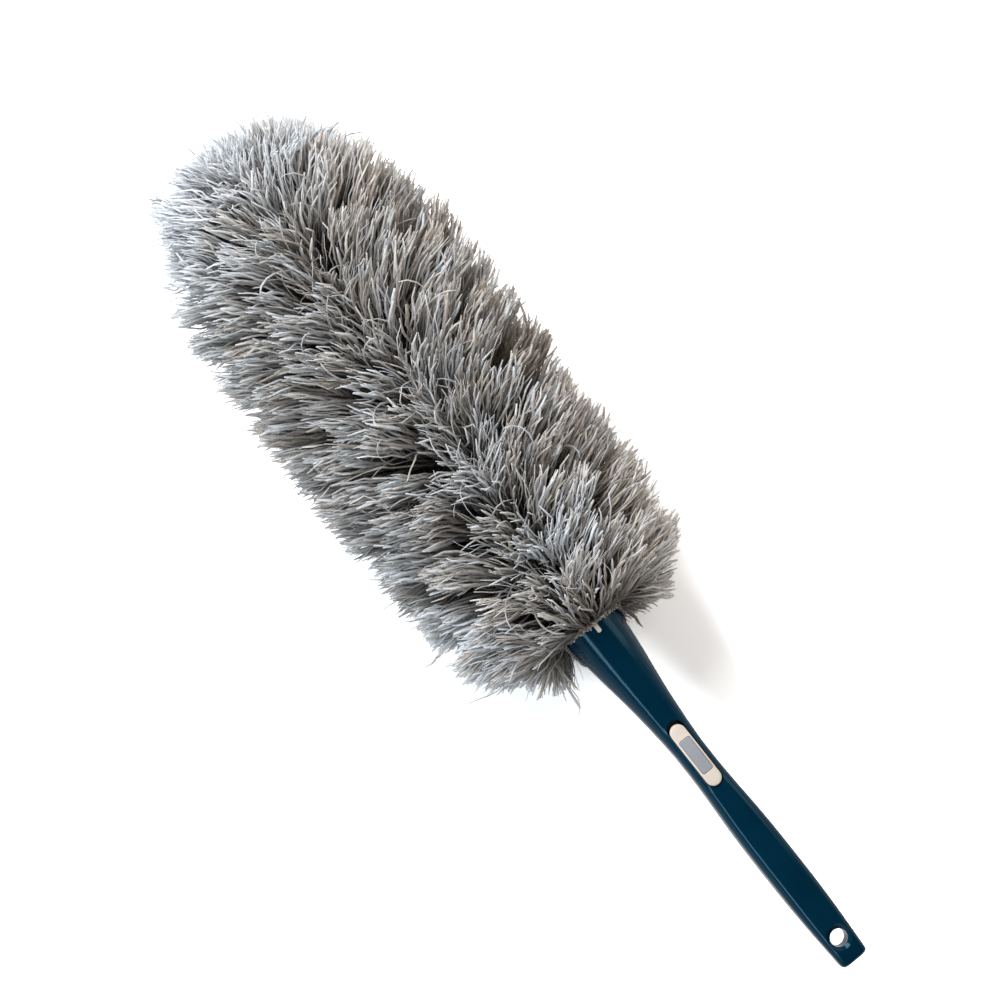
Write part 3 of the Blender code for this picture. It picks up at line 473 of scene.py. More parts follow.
def add_yarn(name, node, path, tone, warm, loose, rng, material):
    """One piece of yarn, with the tone and the warmth of each strand kept on its points."""
    count = len(path)
    finer = np.where(path[:, -1, 2:] > 0, near_top(path[:, -1, 1:2], 0.010, 0.040), 0.0)
    radii = strand_radii(rng, count, loose) * (1 - 0.12 * near_tip(path[:, -1, :1]))
    radii = radii * (1 - 0.14 * finer)
    path = keep_clear(path, 1.4 * radii)
    turns = np.linspace(0, 1, strand_points) * rng.normal(0, 2.2, (count, 1))
    twist = rng.uniform(0, math.pi, (count, 1)) + turns
    vertices, quads, ends = tubes(path, radii, strand_sides, strand_flatness, twist)
    obj = make_object(name, vertices + rim, np.concatenate([quads, ends]), material)
    strip_map(obj.data, count, strand_points, strand_sides)
    end = path[:, -1]
    # Warmth of each strand: random by tuft and strand, less where the tone is paler, more near the cuff,
    # and more on the -Y side as painted warm light from the right softbox.
    warm = warm + 0.8 * rng.normal(0, 1, count) - 0.5 * tone
    warm += 1.4 * near_cuff(end[:, 0]) + 0.1 * smooth(0.24, 0.32, end[:, 0]) - 11.0 * end[:, 1]
    share = np.repeat(np.linspace(0, 1, strand_points), strand_sides)
    add_value(obj.data, "along", np.tile(share, count))
    for attribute, values in (("tone", tone), ("warm", warm)):
        add_value(obj.data, attribute, np.repeat(values, strand_points * strand_sides))
    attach(obj, "sleeve")
    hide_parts(node)


def make_rows(material):
    """The rows of yarn along the sleeve, then the yarn over its closed end."""
    rng = np.random.default_rng(11)
    centres = clumps(rng)
    pitch = (backing_end - backing_start) / row_count
    for row in range(row_count):
        start = backing_start + row * pitch
        count = strands_per_row + (more_in_cuff_rows if row < cuff_rows else 0)
        x = rng.uniform(start, start + pitch, count)
        f = (np.arange(count) + rng.uniform(0, 1, count)) / count
        path, which, loose = groom(rng, x, f, centres)
        tone = 0.70 * centres["tone"][which] + (1.35 - 0.50 * near_tip(x)) * rng.normal(0, 1, count)
        # Loose strands, the cuff and the tip are made paler; at the tip this is partly the pale frayed ends
        # and partly painted light from the tip's side.
        tone += 0.15 + 1.1 * loose + 4.0 * near_tip(x) + 2.8 * near_cuff(x)
        warm = 0.9 * centres["warm"][which]
        if row == 0:
            extra, extra_tone = groom_mouth(rng)
            path, tone = np.concatenate([path, extra]), np.concatenate([tone, extra_tone])
            loose = np.concatenate([loose, np.zeros(len(extra), bool)])
            warm = np.concatenate([warm, rng.normal(0.9, 0.5, len(extra))])
        number = f"{row + 1:02d}"
        add_yarn("yarn_row_" + number, "strand_row_" + number, path, tone, warm, loose, rng, material)
    make_tip(material)


def groom_mouth(rng):
    """The strands sewn along the hem, which fan out from the sleeve's mouth."""
    count = mouth_strands
    f = (np.arange(count) + rng.uniform(0, 1, count)) / count
    tufts = mouth_tufts
    tuft = np.floor(f * tufts).astype(int) % tufts
    angle = 2 * math.pi * (f + ((tuft + 0.5) / tufts - f) * 0.7)
    x = rng.uniform(0.0026, hem_end, count)
    normal = unit(circled(0.10 - 60 * (hem_end - x), 1.0, angle))
    root = circled(x, yarn_root_radius, angle)
    turned = 2 * wrapped(f) + rng.normal(0, 0.026, tufts)[tuft] + rng.normal(0, 0.020, count)
    turned = np.clip(turned, -1.0, 1.0)
    top = near_top(turned, 0.08, 0.62)
    out = rng.uniform(0, 1, count)
    shift = rng.normal(0, 0.005, tufts)[tuft] + rng.normal(0, 0.003, count)
    reach = x + shift + top * (0.014 + 0.022 * out) + (1 - top) * (-0.036 + 0.034 * out)
    reach = np.where(np.abs(turned) < 0.36, np.maximum(reach, x + 0.004), reach)
    hanging = (rng.random(count) < 0.06) & (turned > 0.46) & (turned < 0.66)
    least = np.where(turned > 0, -0.024, -0.016)
    reach = np.where(hanging, rng.uniform(-0.044, -0.030, count), np.maximum(reach, least))
    tip = fluff(reach, turned)
    length = rng.normal(0.90, 0.06, tufts)[tuft] + rng.normal(0, 0.06, count)
    tip = root + (tip - root) * length.clip(0.66, 1.04)[:, None]
    loose = rng.random(count) < 0.05
    path = bend(rng, root, normal, tip, turned, np.zeros(count), loose)
    tone = 0.55 * rng.normal(0, 1, tufts)[tuft] + 1.4 * rng.normal(0, 1, count) + 2.6
    more, more_tone = groom_edge(rng)
    return np.concatenate([path, more]), np.concatenate([tone, more_tone])


def groom_edge(rng):
    """Short strands that hide the hem's front edge."""
    count = edge_strands
    angle = math.radians(84) * (2 * (np.arange(count) + rng.uniform(0, 1, count)) / count - 1)
    root = circled(rng.uniform(0.0035, 0.0065, count), yarn_root_radius, angle)
    normal = circled(-0.2, 1.0, angle)
    angle = angle + rng.normal(0, 0.05, count)
    radius = rng.uniform(0.0205, 0.0225, count)
    tip = circled(rng.normal(0.0010, 0.0007, count), radius, angle)
    straight, none_loose = np.zeros(count), np.zeros(count, bool)
    path = bend(rng, root, unit(normal), tip, angle / math.pi, straight, none_loose)
    bulge = np.sin(math.pi * np.linspace(0, 1, strand_points))
    path += normal[:, None] * (rng.uniform(0.0004, 0.0018, (count, 1)) * bulge)[:, :, None]
    return path, rng.normal(-1.2, 1.0, count)


def make_tip(material):
    """The strands over the closed end, which fan out from it."""
    rng = np.random.default_rng(23)
    cap_half_width, cap_half_height = 0.0225, 0.0065
    count, tufts = strands_in_tip, tip_tufts
    spread = np.sqrt((np.arange(count) + rng.uniform(0, 1, count)) / count)
    f = (np.arange(count) * golden_turn) % 1.0
    tuft_f, tuft_spread = rng.random(tufts), np.sqrt(rng.random(tufts))
    flat = circled(0.0, spread, 2 * math.pi * f)[:, 1:]
    tuft = circled(0.0, tuft_spread, 2 * math.pi * tuft_f)[:, 1:]
    which = np.argmin(((flat[:, None] - tuft[None]) ** 2).sum(-1), axis=1)
    pull = rng.uniform(0.15, 0.6, tufts)[which, None] * rng.uniform(0.5, 1.1, (count, 1))
    aimed = flat + (tuft[which] - flat) * pull + rng.normal(0, 0.07, (count, 2))
    aimed += rng.normal(0, 0.09, (tufts, 2))[which]
    out = np.hypot(aimed[:, 0], aimed[:, 1]).clip(0.001, 1.0)
    turned = np.arctan2(aimed[:, 0], aimed[:, 1]) / math.pi
    share = 1.0 - 0.10 * out ** 2.6
    length = rng.normal(0.99, 0.085, tufts)[which] * rng.normal(0.97, 0.045, count)
    edge = fluff(share * head_length, turned)
    tip = np.stack([edge[:, 0], edge[:, 1] * out, edge[:, 2] * out], -1)
    root = np.stack([
        backing_end + (cap_end - backing_end) * (1 - spread ** 2),
        flat[:, 0] * cap_half_width, flat[:, 1] * cap_half_height,
    ], -1)
    tip = root + (tip - root) * length.clip(0.72, 1.06)[:, None]
    normal = unit(np.stack([1.1 - spread, flat[:, 0], 0.8 * flat[:, 1]], -1))
    loose = rng.random(count) < 0.14
    tip += loose[:, None] * rng.normal(0, 0.009, (count, 3)).clip(-0.016, 0.012)
    path = bend(rng, root, normal, tip, turned, rng.uniform(0, 0.5, tufts)[which] * out, loose)
    # The tip's strands are pale: partly their frayed ends, partly painted light from the tip's side.
    tone = 0.45 * rng.normal(0, 1, tufts)[which] + 0.8 * rng.normal(0, 1, count) + 4.6
    add_yarn("yarn_tip", "tip_tuft", path, tone, rng.normal(0, 0.8, tufts)[which], loose, rng, material)


def new_material(name):
    material = bpy.data.materials.new(name)
    material.use_nodes = True
    tree = material.node_tree
    return material, tree.nodes, tree.links, tree.nodes["Principled BSDF"]


def feed(links, socket, value):
    """Links a socket to another one, or gives it a value."""
    if isinstance(value, bpy.types.NodeSocket):
        links.new(value, socket)
    else:
        socket.default_value = value


def ramp(nodes, links, value, stops):
    """Colours for a value, between stops of (value, colour) in rising order."""
    node = nodes.new("ShaderNodeValToRGB")
    elements = node.color_ramp.elements
    first, *between, last = stops
    for i, (place, colour) in enumerate((first, last, *between)):
        stop = elements[i] if i < 2 else elements.new(place)
        stop.position = place
        stop.color = (*colour, 1.0)
    links.new(value, node.inputs["Fac"])
    return node.outputs["Color"]


def noise(nodes, links, scale, detail, vector, roughness=0.55):
    node = nodes.new("ShaderNodeTexNoise")
    for name, value in (("Scale", scale), ("Detail", detail), ("Roughness", roughness), ("Vector", vector)):
        feed(links, node.inputs[name], value)
    return node.outputs["Fac"]


def math_node(nodes, links, operation, *values):
    node = nodes.new("ShaderNodeMath")
    node.operation = operation
    for socket, value in zip(node.inputs, values):
        feed(links, socket, value)
    return node.outputs[0]


def map_range(nodes, links, value, low, high, to_low, to_high):
    node = nodes.new("ShaderNodeMapRange")
    names = ("Value", "From Min", "From Max", "To Min", "To Max")
    for name, number in zip(names, (value, low, high, to_low, to_high)):
        feed(links, node.inputs[name], number)
    return node.outputs["Result"]


def blend(nodes, links, share, one, two, kind="MIX"):
    node = nodes.new("ShaderNodeMix")
    node.data_type = "RGBA"
    node.blend_type = kind
    for name, value in (("Factor", share), ("A", one), ("B", two)):
        feed(links, node.inputs[name], value)
    return node.outputs["Result"]


def multiply(nodes, links, one, two):
    return blend(nodes, links, 1.0, one, two, "MULTIPLY")


def bump(nodes, links, height, strength, distance):
    node = nodes.new("ShaderNodeBump")
    for name, value in (("Strength", strength), ("Distance", distance), ("Height", height)):
        feed(links, node.inputs[name], value)
    return node.outputs["Normal"]


def place_of(nodes):
    return nodes.new("ShaderNodeTexCoord").outputs["Object"]


def height_of(nodes, links, place):
    node = nodes.new("ShaderNodeSeparateXYZ")
    links.new(place, node.inputs["Vector"])
    return node.outputs["Z"]


def kept_value(nodes, name):
    """A value kept on the points of the yarn."""
    node = nodes.new("ShaderNodeAttribute")
    node.attribute_name = name
    return node.outputs["Fac"]


def yarn_material():
    """Split microfibre, finely streaked along: painted shade darkens and warms it towards the roots, and it
    is pale at the ends.
    """
    material, nodes, links, shader = new_material("microfibre_yarn")
    place = place_of(nodes)
    mottle = noise(nodes, links, 420.0, 3.0, place)
    patch = noise(nodes, links, 26.0, 2.0, place)
    value = math_node(nodes, links, "MULTIPLY_ADD", mottle, 0.50, 0.25)
    value = math_node(nodes, links, "MULTIPLY_ADD", kept_value(nodes, "tone"), 0.085, value)
    value = math_node(nodes, links, "SUBTRACT", value, 0.10)
    value = math_node(nodes, links, "MULTIPLY_ADD", patch, 0.20, value)
    colour = ramp(nodes, links, value, [
        (0.10, (0.180, 0.163, 0.149)), (0.35, (0.360, 0.339, 0.320)),
        (0.60, (0.635, 0.622, 0.612)), (0.95, (0.920, 0.924, 0.935)),
    ])
    # Painted shade along each strand: dark and warm at the root, where the strands shade one another,
    # rising to full colour at the ends.
    painted_root_shade = ramp(nodes, links, kept_value(nodes, "along"), [
        (0.0, (0.066, 0.054, 0.046)), (0.40, (0.25, 0.225, 0.204)), (0.70, (0.62, 0.597, 0.575)),
        (0.90, (0.90, 0.895, 0.89)), (1.0, (1.0, 1.005, 1.01)),
    ])
    # Cool to warm tint from the kept warmth, which holds painted warm light on the -Y side.
    warmth = map_range(nodes, links, kept_value(nodes, "warm"), -2.2, 2.2, 0.0, 1.0)
    hue = ramp(nodes, links, warmth, [
        (0.0, (0.88, 0.94, 1.0)), (0.5, (0.96, 0.96, 0.96)), (1.0, (1.0, 0.93, 0.84)),
    ])
    strip = nodes.new("ShaderNodeUVMap")
    strip.uv_map = "OFBake"
    stretched = nodes.new("ShaderNodeVectorMath")
    stretched.operation = "MULTIPLY"
    stretched.inputs[1].default_value = (150.0, 28.0, 1.0)
    links.new(strip.outputs["UV"], stretched.inputs[0])
    fibres = noise(nodes, links, 1.0, 3.0, stretched.outputs["Vector"], 0.6)
    streak = ramp(nodes, links, fibres, [(0.30, (0.80, 0.79, 0.78)), (0.66, (1.0, 1.0, 1.0))])
    for other in (painted_root_shade, hue, streak):
        colour = multiply(nodes, links, colour, other)
    links.new(colour, shader.inputs["Base Color"])
    links.new(map_range(nodes, links, mottle, 0.3, 0.7, 0.78, 0.95), shader.inputs["Roughness"])
    shader.inputs["Specular IOR Level"].default_value = 0.22
    shader.inputs["Sheen Weight"].default_value = 0.25
    shader.inputs["Sheen Roughness"].default_value = 0.45
    fibre = noise(nodes, links, 1500.0, 3.0, place)
    links.new(bump(nodes, links, fibre, 0.6, 0.0003), shader.inputs["Normal"])
    return material


def plastic(name, colour, rough, spread, specular=0.5, tint=(1.0, 1.0, 1.0)):
    """Moulded plastic: a fine skin, soft cloudy gloss, and small scuffs."""
    material, nodes, links, shader = new_material(name)
    place = place_of(nodes)
    cloud = noise(nodes, links, 38.0, 4.0, place)
    fine = noise(nodes, links, 2600.0, 2.0, place)
    speck = noise(nodes, links, 620.0, 5.0, place, 0.7)
    low = tuple(c * 0.90 for c in colour)
    high = tuple(min(1.0, c * 1.10) for c in colour)
    scuffed = tuple(min(1.0, c * 1.6 + 0.01) for c in colour)
    shades = ramp(nodes, links, cloud, [(0.30, low), (0.70, high)])
    worn = ramp(nodes, links, speck, [(0.66, (0.0, 0.0, 0.0)), (0.80, (1.0, 1.0, 1.0))])
    share = math_node(nodes, links, "MULTIPLY", worn, 0.35)
    links.new(blend(nodes, links, share, shades, (*scuffed, 1.0)), shader.inputs["Base Color"])
    gloss = map_range(nodes, links, cloud, 0.25, 0.75, rough - spread, rough + spread)
    gloss = math_node(nodes, links, "MULTIPLY_ADD", worn, 0.10, gloss)
    links.new(gloss, shader.inputs["Roughness"])
    shader.inputs["Specular IOR Level"].default_value = specular
    shader.inputs["Specular Tint"].default_value = (*tint, 1.0)
    links.new(bump(nodes, links, fine, 0.10, 0.0002), shader.inputs["Normal"])
    return material


def paint_shade_below(material, height):
    """Paints shade into a material below a height: the flange under the button is darkened to near black,
    as painted shade for the gap at the button's end.
    """
    nodes, links = material.node_tree.nodes, material.node_tree.links
    base = nodes["Principled BSDF"].inputs["Base Color"]
    here = height_of(nodes, links, place_of(nodes))
    share = map_range(nodes, links, here, height, height + 0.0006, 0.015, 1.0)
    shade = ramp(nodes, links, share, [(0.0, (0.0, 0.0, 0.0)), (1.0, (1.0, 1.0, 1.0))])
    links.new(multiply(nodes, links, base.links[0].from_socket, shade), base)


def steel(name):
    material, nodes, links, shader = new_material(name)
    streak = noise(nodes, links, 900.0, 4.0, place_of(nodes))
    shades = ramp(nodes, links, streak, [(0.3, (0.42, 0.42, 0.43)), (0.7, (0.62, 0.62, 0.63))])
    links.new(shades, shader.inputs["Base Color"])
    shader.inputs["Metallic"].default_value = 1.0
    links.new(map_range(nodes, links, streak, 0.3, 0.7, 0.22, 0.40), shader.inputs["Roughness"])
    links.new(bump(nodes, links, streak, 0.1, 0.0001), shader.inputs["Normal"])
    return material


def cloth(name, dark, light, rib_scale):
    """Knitted cloth: rows of small loops with a soft nap."""
    material, nodes, links, shader = new_material(name)
    place = place_of(nodes)
    rows = nodes.new("ShaderNodeTexWave")
    rows.wave_type = "BANDS"
    rows.bands_direction = "X"
    rows.inputs["Scale"].default_value = rib_scale
    rows.inputs["Distortion"].default_value = 1.2
    rows.inputs["Detail"].default_value = 2.0
    links.new(place, rows.inputs["Vector"])
    nap = noise(nodes, links, 900.0, 4.0, place)
    value = math_node(nodes, links, "MULTIPLY", nap, 0.55)
    value = math_node(nodes, links, "MULTIPLY_ADD", rows.outputs["Fac"], 0.45, value)
    links.new(ramp(nodes, links, value, [(0.2, dark), (0.8, light)]), shader.inputs["Base Color"])
    links.new(map_range(nodes, links, nap, 0.3, 0.7, 0.85, 0.98), shader.inputs["Roughness"])
    shader.inputs["Specular IOR Level"].default_value = 0.2
    links.new(bump(nodes, links, value, 0.8, 0.0006), shader.inputs["Normal"])
    return material


def loft(name, rings, material, closed=False):
    """A skin over rings of equally many points. Closed joins the last ring to the first."""
    rings = np.asarray(rings, float)
    count, around = rings.shape[:2]
    index = np.arange(count * around).reshape(count, around)
    if closed:
        index = np.concatenate([index, index[:1]])
    after = np.roll(index, -1, axis=1)
    quads = np.stack([index[:-1], after[:-1], after[1:], index[1:]], axis=-1).reshape(-1, 4)
    return make_object(name, rings.reshape(-1, 3) + rim, quads, material)


def hem_front(angle):
    """How far forward the hem's edge lies at an angle from the top towards +Y."""
    turn = (angle / (2 * math.pi)) % 1.0
    droop = from_table(hem_droop_shares, turn)
    soft = from_table(hem_droop_shares, (turn + 0.008) % 1.0)
    return hem_start - hem_droop * (droop + soft) / 2


def make_hem(material, thread):
    """The folded hem, gathered by its elastic, and a row of stitches near its edge."""
    around = 168
    angle = 2 * math.pi * np.arange(around) / around
    front, end = hem_front(angle), hem_end
    gather = 0.00022 * np.sin(angle * 22 + 1.1 * np.sin(3 * angle)) + 0.00012 * np.sin(angle * 37 + 0.7)
    bore, outer, groove = 0.0186, 0.0211, 0.0199
    groove_start, groove_end = end - 0.0058, end - 0.0018

    # Each ring's place, its radius and how far it follows the gathers: outside first, then the bore
    profile = []
    for share in (0.0, 0.10, 0.22, 0.45, 0.70, 0.88, 1.0):
        puff = 0.00018 * math.sin(math.pi * share)
        profile.append((front + 0.0012 + (end - front - 0.0014) * share, outer - 0.00030 + puff, 1.0))
    profile += [
        (end, outer - 0.0006, 0.4), (end, bore + 0.0003, 0.0), (end - 0.0015, bore, 0.0),
        (groove_end, bore + 0.0001, 0.0), (groove_end, groove, 0.0), (groove_start, groove, 0.0),
        (groove_start, bore + 0.0001, 0.0), (front + 0.0014, bore + 0.0001, 0.0),
        (front + 0.0004, bore + 0.0004, 0.0), (front, bore + 0.0010, 0.3),
        (front + 0.0002, outer - 0.0009, 0.6),
    ]
    rings = [circled(x, radius + gather * ripple, angle) for x, radius, ripple in profile]
    hem = loft("sleeve_hem", rings, material, closed=True)
    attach(hem, "sleeve")
    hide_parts("cuff_hem")

    stitches, stitch_share, thread_radius = 58, 0.66, 0.00022
    lift = np.array([-0.00032, 0.00012, 0.00022, 0.00012, -0.00032])
    paths = []
    for line in (0.0030, 0.0046):
        for i in range(stitches):
            middle = 2 * math.pi * (i + 0.5) / stitches
            turn = middle + np.linspace(-0.5, 0.5, len(lift)) * 2 * math.pi / stitches * stitch_share
            paths.append(circled(hem_front(turn) + line, outer - 0.00018 + lift, turn))
    vertices, quads, _ = tubes(np.array(paths), np.full((len(paths), len(lift)), thread_radius), 6)
    stitching = make_object("hem_stitching", vertices + rim, quads, thread)
    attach(stitching, "sleeve")
    return hem, stitching


def make_elastic(material):
    """A ribbed elastic band in the hem's channel."""
    around, ribs = 320, 80
    angle = 2 * math.pi * np.arange(around) / around
    rib = 0.00010 * np.sin(angle * ribs)
    low, high = 0.01882, 0.01970
    back, front = hem_end - 0.0055, hem_end - 0.0021
    middle, edge = (back + front) / 2, 0.0002
    profile = (
        (back + edge, low), (back, low + edge), (back, high - edge), (back + edge, high),
        (middle, high + 0.00005), (front - edge, high), (front, high - edge),
        (front, low + edge), (front - edge, low), (middle, low + 0.00003),
    )
    rings = []
    for x, radius in profile:
        height = 1.0 if radius > (low + high) / 2 else 0.3
        rings.append(circled(x, radius + rib * height, angle))
    band = loft("hem_elastic", rings, material, closed=True)
    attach(band, "sleeve")
    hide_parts("cuff_elastic")
    return band


def make_backing(material):
    """The knitted tube that carries the yarn, from the hem to its closed end."""
    around, creases = 120, 15
    fraction = np.arange(around) / around
    sunk, thick = 0.0004, 0.0009
    skins = {0.0: [], thick: []}
    places = np.concatenate([np.linspace(backing_start, gather_end, 9), np.linspace(0.06, backing_end, 30)])
    for inset, rings in skins.items():
        for x in places:
            half_width, half_height = backing_size(x)
            crease = 0.00025 * np.sin(2 * math.pi * fraction * creases + x * 90)
            y, z, ny, nz = oval(fraction, half_width - sunk - inset, half_height - sunk - inset)
            rings.append(np.stack([np.full_like(y, x), y + crease * ny, z + crease * nz], -1))
        for share in (0.3, 0.6, 0.85, 0.97):
            size = math.sqrt(1 - share ** 2)
            x = backing_end + (cap_end - backing_end - 0.0006 - inset) * share
            y, z, _, _ = oval(fraction, (backing_half_width - sunk - inset) * size,
                              (backing_half_height - sunk - inset) * size)
            rings.append(np.stack([np.full_like(y, x), y, z], -1))
        middle = rings[-1].mean(0)
        rings.append(middle + (rings[-1] - middle) * 0.02)
    outer, inner = skins.values()
    backing = loft("sleeve_backing", outer + inner[::-1], material, closed=True)
    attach(backing, "sleeve")


def make_seam_bead(material):
    """The welded bead that closes the seam between the two shells, on the inside of their walls."""
    bead_start, bead_end, half_height = -0.3092, -0.1178, 0.0012
    places = np.linspace(bead_start, bead_end, 60)
    half = from_table(grip_half_widths, rim[0] - places) - handle_wall
    section = ((-0.0006, -half_height), (0.0002, -half_height), (0.0005, 0.0),
               (0.0002, half_height), (-0.0006, half_height))
    for name, side in (("seam_bead_left", 1.0), ("seam_bead_right", -1.0)):
        lines = [np.stack([places - rim[0], side * (half + out), np.full_like(places, up)], -1)
                 for out, up in section]
        bead = loft(name, np.array(lines).transpose(1, 0, 2), material)
        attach(bead, "handle")


def make_coil(material):
    """The button's return spring, a coil of wire built in the place of the frame's spring."""
    low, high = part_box("button_spring")
    wire, turns, steps_in_turn, sides = 0.0004, 6, 36, 12
    share = np.linspace(0, 1, turns * steps_in_turn + 1)
    angle = 2 * math.pi * turns * share
    radius = (high.x - low.x) / 2 - wire
    path = np.stack([
        (low.x + high.x) / 2 + radius * np.cos(angle),
        (low.y + high.y) / 2 + radius * np.sin(angle),
        low.z + wire + (high.z - low.z - 2 * wire) * share,
    ], -1)[None]
    vertices, quads, ends = tubes(path, np.full((1, len(share)), wire), sides)
    coil = make_object("return_coil", vertices, quads, material, ends)
    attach(coil, "handle")
    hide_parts("button_spring")
    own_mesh(coil)


def give(material, *names):
    for name in names:
        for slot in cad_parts[name].material_slots:
            slot.material = material


def smooth_moulding(*names):
    """Joins the frame's loose triangles and shades them as one moulded skin with crisp edges."""
    group = bpy.data.node_groups.new("moulded_skin", "GeometryNodeTree")
    group.interface.new_socket("Geometry", in_out="INPUT", socket_type="NodeSocketGeometry")
    group.interface.new_socket("Geometry", in_out="OUTPUT", socket_type="NodeSocketGeometry")
    nodes, links = group.nodes, group.links
    start, end = nodes.new("NodeGroupInput"), nodes.new("NodeGroupOutput")
    weld = nodes.new("GeometryNodeMergeByDistance")
    weld.inputs["Distance"].default_value = 0.00002
    plain = nodes.new("GeometryNodeRemoveAttribute")
    plain.inputs["Name"].default_value = "custom_normal"
    faces = nodes.new("GeometryNodeSetShadeSmooth")
    faces.domain = "FACE"
    edges = nodes.new("GeometryNodeSetShadeSmooth")
    edges.domain = "EDGE"
    edges.inputs["Shade Smooth"].default_value = False
    angle = nodes.new("GeometryNodeInputMeshEdgeAngle")
    sharp = nodes.new("FunctionNodeCompare")
    sharp.data_type = "FLOAT"
    sharp.operation = "GREATER_THAN"
    sharp.inputs[1].default_value = math.radians(32)
    links.new(angle.outputs["Unsigned Angle"], sharp.inputs[0])
    links.new(sharp.outputs["Result"], edges.inputs["Selection"])
    chain = (start, weld, plain, faces, edges, end)
    for one, two in zip(chain, chain[1:]):
        links.new(one.outputs["Geometry"], two.inputs["Geometry"])
    for name in names:
        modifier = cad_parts[name].modifiers.new("moulded_skin", "NODES")
        modifier.node_group = group


def add_light(name, place, target, size, power, colour):
    """A rectangular lamp at a place, turned towards its target."""
    data = bpy.data.lights.new(name, "AREA")
    data.shape = "RECTANGLE"
    data.size, data.size_y = size
    data.energy = power
    data.color = colour
    obj = bpy.data.objects.new(name, data)
    bpy.context.scene.collection.objects.link(obj)
    way = Vector(target) - Vector(place)
    obj.location = place
    obj.rotation_mode = "QUATERNION"
    obj.rotation_quaternion = way.to_track_quat("-Z", "Y")


def light_scene():
    """Three softboxes and an even fill. The camera and gloss see a world that darkens upwards."""
    scene = bpy.context.scene
    middle = (0.02, 0.0, 0.04)
    add_light("left_strip", (-0.05, 1.10, 1.03), (-0.05, 0.0, 0.04),
              size=(1.8, 0.28), power=14.5, colour=(0.90, 0.96, 1.0))
    add_light("right_softbox", (0.25, -1.25, 0.95), middle,
              size=(1.5, 0.8), power=10.0, colour=(1.0, 0.92, 0.84))
    add_light("tip_softbox", (1.35, 0.10, 0.95), middle,
              size=(0.9, 0.8), power=26.0, colour=(1.0, 1.0, 1.0))

    world = bpy.data.worlds.new("studio")
    scene.world = world
    world.use_nodes = True
    nodes, links = world.node_tree.nodes, world.node_tree.links
    nodes.clear()
    out = nodes.new("ShaderNodeOutputWorld")
    seen = nodes.new("ShaderNodeBackground")
    fill = nodes.new("ShaderNodeBackground")
    fill.inputs["Color"].default_value = (0.97, 0.98, 1.0, 1.0)
    fill.inputs["Strength"].default_value = 0.28
    seen.inputs["Strength"].default_value = 1.0
    height = height_of(nodes, links, nodes.new("ShaderNodeTexCoord").outputs["Generated"])
    links.new(ramp(nodes, links, height, [
        (0.20, (1.0, 1.0, 1.0)), (0.42, (0.12, 0.13, 0.14)), (0.95, (0.05, 0.055, 0.06)),
    ]), seen.inputs["Color"])
    rays = nodes.new("ShaderNodeLightPath").outputs
    share = math_node(nodes, links, "MAXIMUM", rays["Is Camera Ray"], rays["Is Glossy Ray"])
    share = math_node(nodes, links, "MAXIMUM", share, rays["Is Transmission Ray"])
    mix = nodes.new("ShaderNodeMixShader")
    links.new(share, mix.inputs[0])
    links.new(fill.outputs[0], mix.inputs[1])
    links.new(seen.outputs[0], mix.inputs[2])
    links.new(mix.outputs[0], out.inputs["Surface"])
    scene.view_settings.view_transform = "Standard"


def make_floor():
    """A sheet of pale paper that the camera sees as white, apart from the shadow on it."""
    half_side, lines, below = 6.0, 13, 0.0004
    steps = np.linspace(-half_side, half_side, lines)
    x, y = np.meshgrid(steps, steps, indexing="ij")
    points = np.stack([x, y, np.full_like(x, -below)], -1).reshape(-1, 3)
    index = np.arange(lines * lines).reshape(lines, lines)
    quads = np.stack([index[:-1, :-1], index[1:, :-1], index[1:, 1:], index[:-1, 1:]], -1).reshape(-1, 4)
    material, nodes, links, _ = new_material("floor_paper")
    place = place_of(nodes)
    tone = noise(nodes, links, 2.2, 2.0, place)
    paper = ramp(nodes, links, tone, [(0.3, (0.84, 0.84, 0.845)), (0.7, (0.86, 0.86, 0.86))])
    away = nodes.new("ShaderNodeVectorMath")
    away.operation = "LENGTH"
    links.new(place, away.inputs[0])
    share = map_range(nodes, links, away.outputs["Value"], 0.8, 2.6, 0.0, 1.0)
    seen = ramp(nodes, links, share, [(0.0, (1.72, 1.72, 1.72)), (1.0, (4.0, 4.0, 4.0))])
    to_camera = nodes.new("ShaderNodeLightPath").outputs["Is Camera Ray"]
    diffuse = nodes.new("ShaderNodeBsdfDiffuse")
    links.new(blend(nodes, links, to_camera, paper, seen), diffuse.inputs["Color"])
    links.new(diffuse.outputs[0], nodes["Material Output"].inputs["Surface"])
    floor = make_object("floor", points, quads, material)


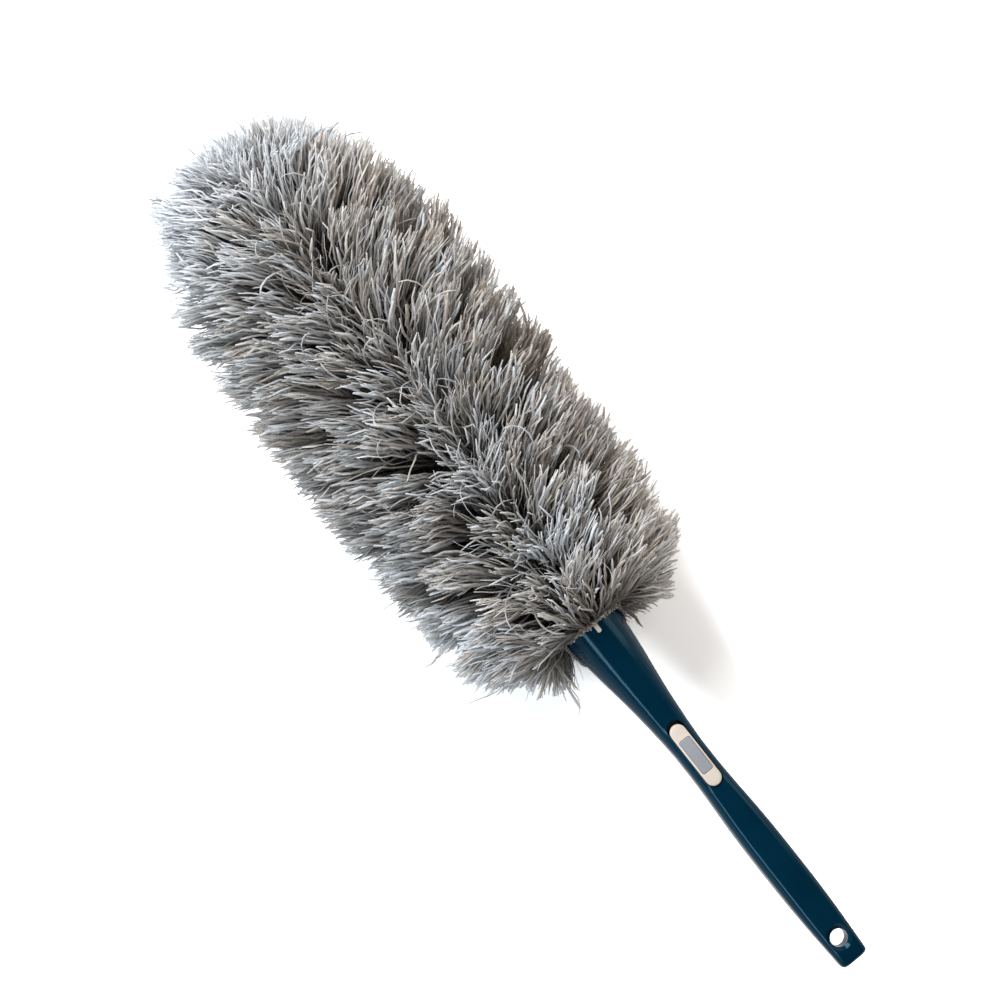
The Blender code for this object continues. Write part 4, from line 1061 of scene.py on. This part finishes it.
def make_camera():
    """The photograph's viewpoint, from angles fitted to points of the object."""
    tilt, pitch, roll = math.radians(6.91), math.radians(0.615), math.radians(51.70)
    distance = 1.4957
    away = Vector((math.sin(pitch), math.sin(tilt) * math.cos(pitch), math.cos(tilt) * math.cos(pitch)))
    level = Vector((1.0, 0.0, 0.0))
    level = (level - away * level.dot(away)).normalized()
    cross = away.cross(level)
    right = -math.cos(roll) * level - math.sin(roll) * cross
    up = away.cross(right)
    data = bpy.data.cameras.new("camera")
    data.lens = 90.0
    data.sensor_width = 36.0
    data.clip_start = 0.05
    camera = bpy.data.objects.new("camera", data)
    bpy.context.scene.collection.objects.link(camera)
    target = Vector((0.03713, -0.00381, rim[2]))
    matrix = Matrix((right, up, away)).transposed().to_4x4()
    matrix.translation = target + away * distance
    camera.matrix_world = matrix
    bpy.context.scene.camera = camera


navy = plastic("navy_plastic", (0.0004, 0.0190, 0.0400), rough=0.13, spread=0.03,
               specular=0.22, tint=(0.40, 0.78, 1.0))
cream = plastic("cream_plastic", (0.70, 0.62, 0.53), rough=0.42, spread=0.07)
button_cream = plastic("button_plastic", (0.69, 0.61, 0.53), rough=0.40, spread=0.07)
# The flange under the button is darkened to near black: painted shade for the gap at the button's end.
paint_shade_below(button_cream, height=0.0530)
pad = plastic("grey_pad", (0.300, 0.318, 0.345), rough=0.34, spread=0.08)
bright_steel = steel("spring_steel")
yarn = yarn_material()
knit = cloth("hem_knit", (0.045, 0.047, 0.050), (0.23, 0.235, 0.25), rib_scale=180.0)
backing_knit = cloth("backing_knit", (0.020, 0.020, 0.022), (0.085, 0.086, 0.090), rib_scale=150.0)
thread = cloth("stitch_thread", (0.20, 0.20, 0.21), (0.45, 0.45, 0.46), rib_scale=420.0)
elastic = cloth("woven_elastic", (0.40, 0.40, 0.40), (0.72, 0.72, 0.71), rib_scale=260.0)

make_camera()
give(navy, "handle_front_shell", "handle_back_shell")
give(cream, "stem_plug", "paddle_frame")
give(button_cream, "release_button")
give(pad, "button_inlay")
give(bright_steel, "frame_pin_left", "frame_pin_right")
smooth_moulding("handle_front_shell", "handle_back_shell", "release_button", "button_inlay",
                "stem_plug", "paddle_frame", "frame_pin_left", "frame_pin_right")
make_rows(yarn)
hem, stitching = make_hem(knit, thread)
band = make_elastic(elastic)
make_backing(backing_knit)
make_seam_bead(navy)
make_coil(bright_steel)
make_floor()
light_scene()
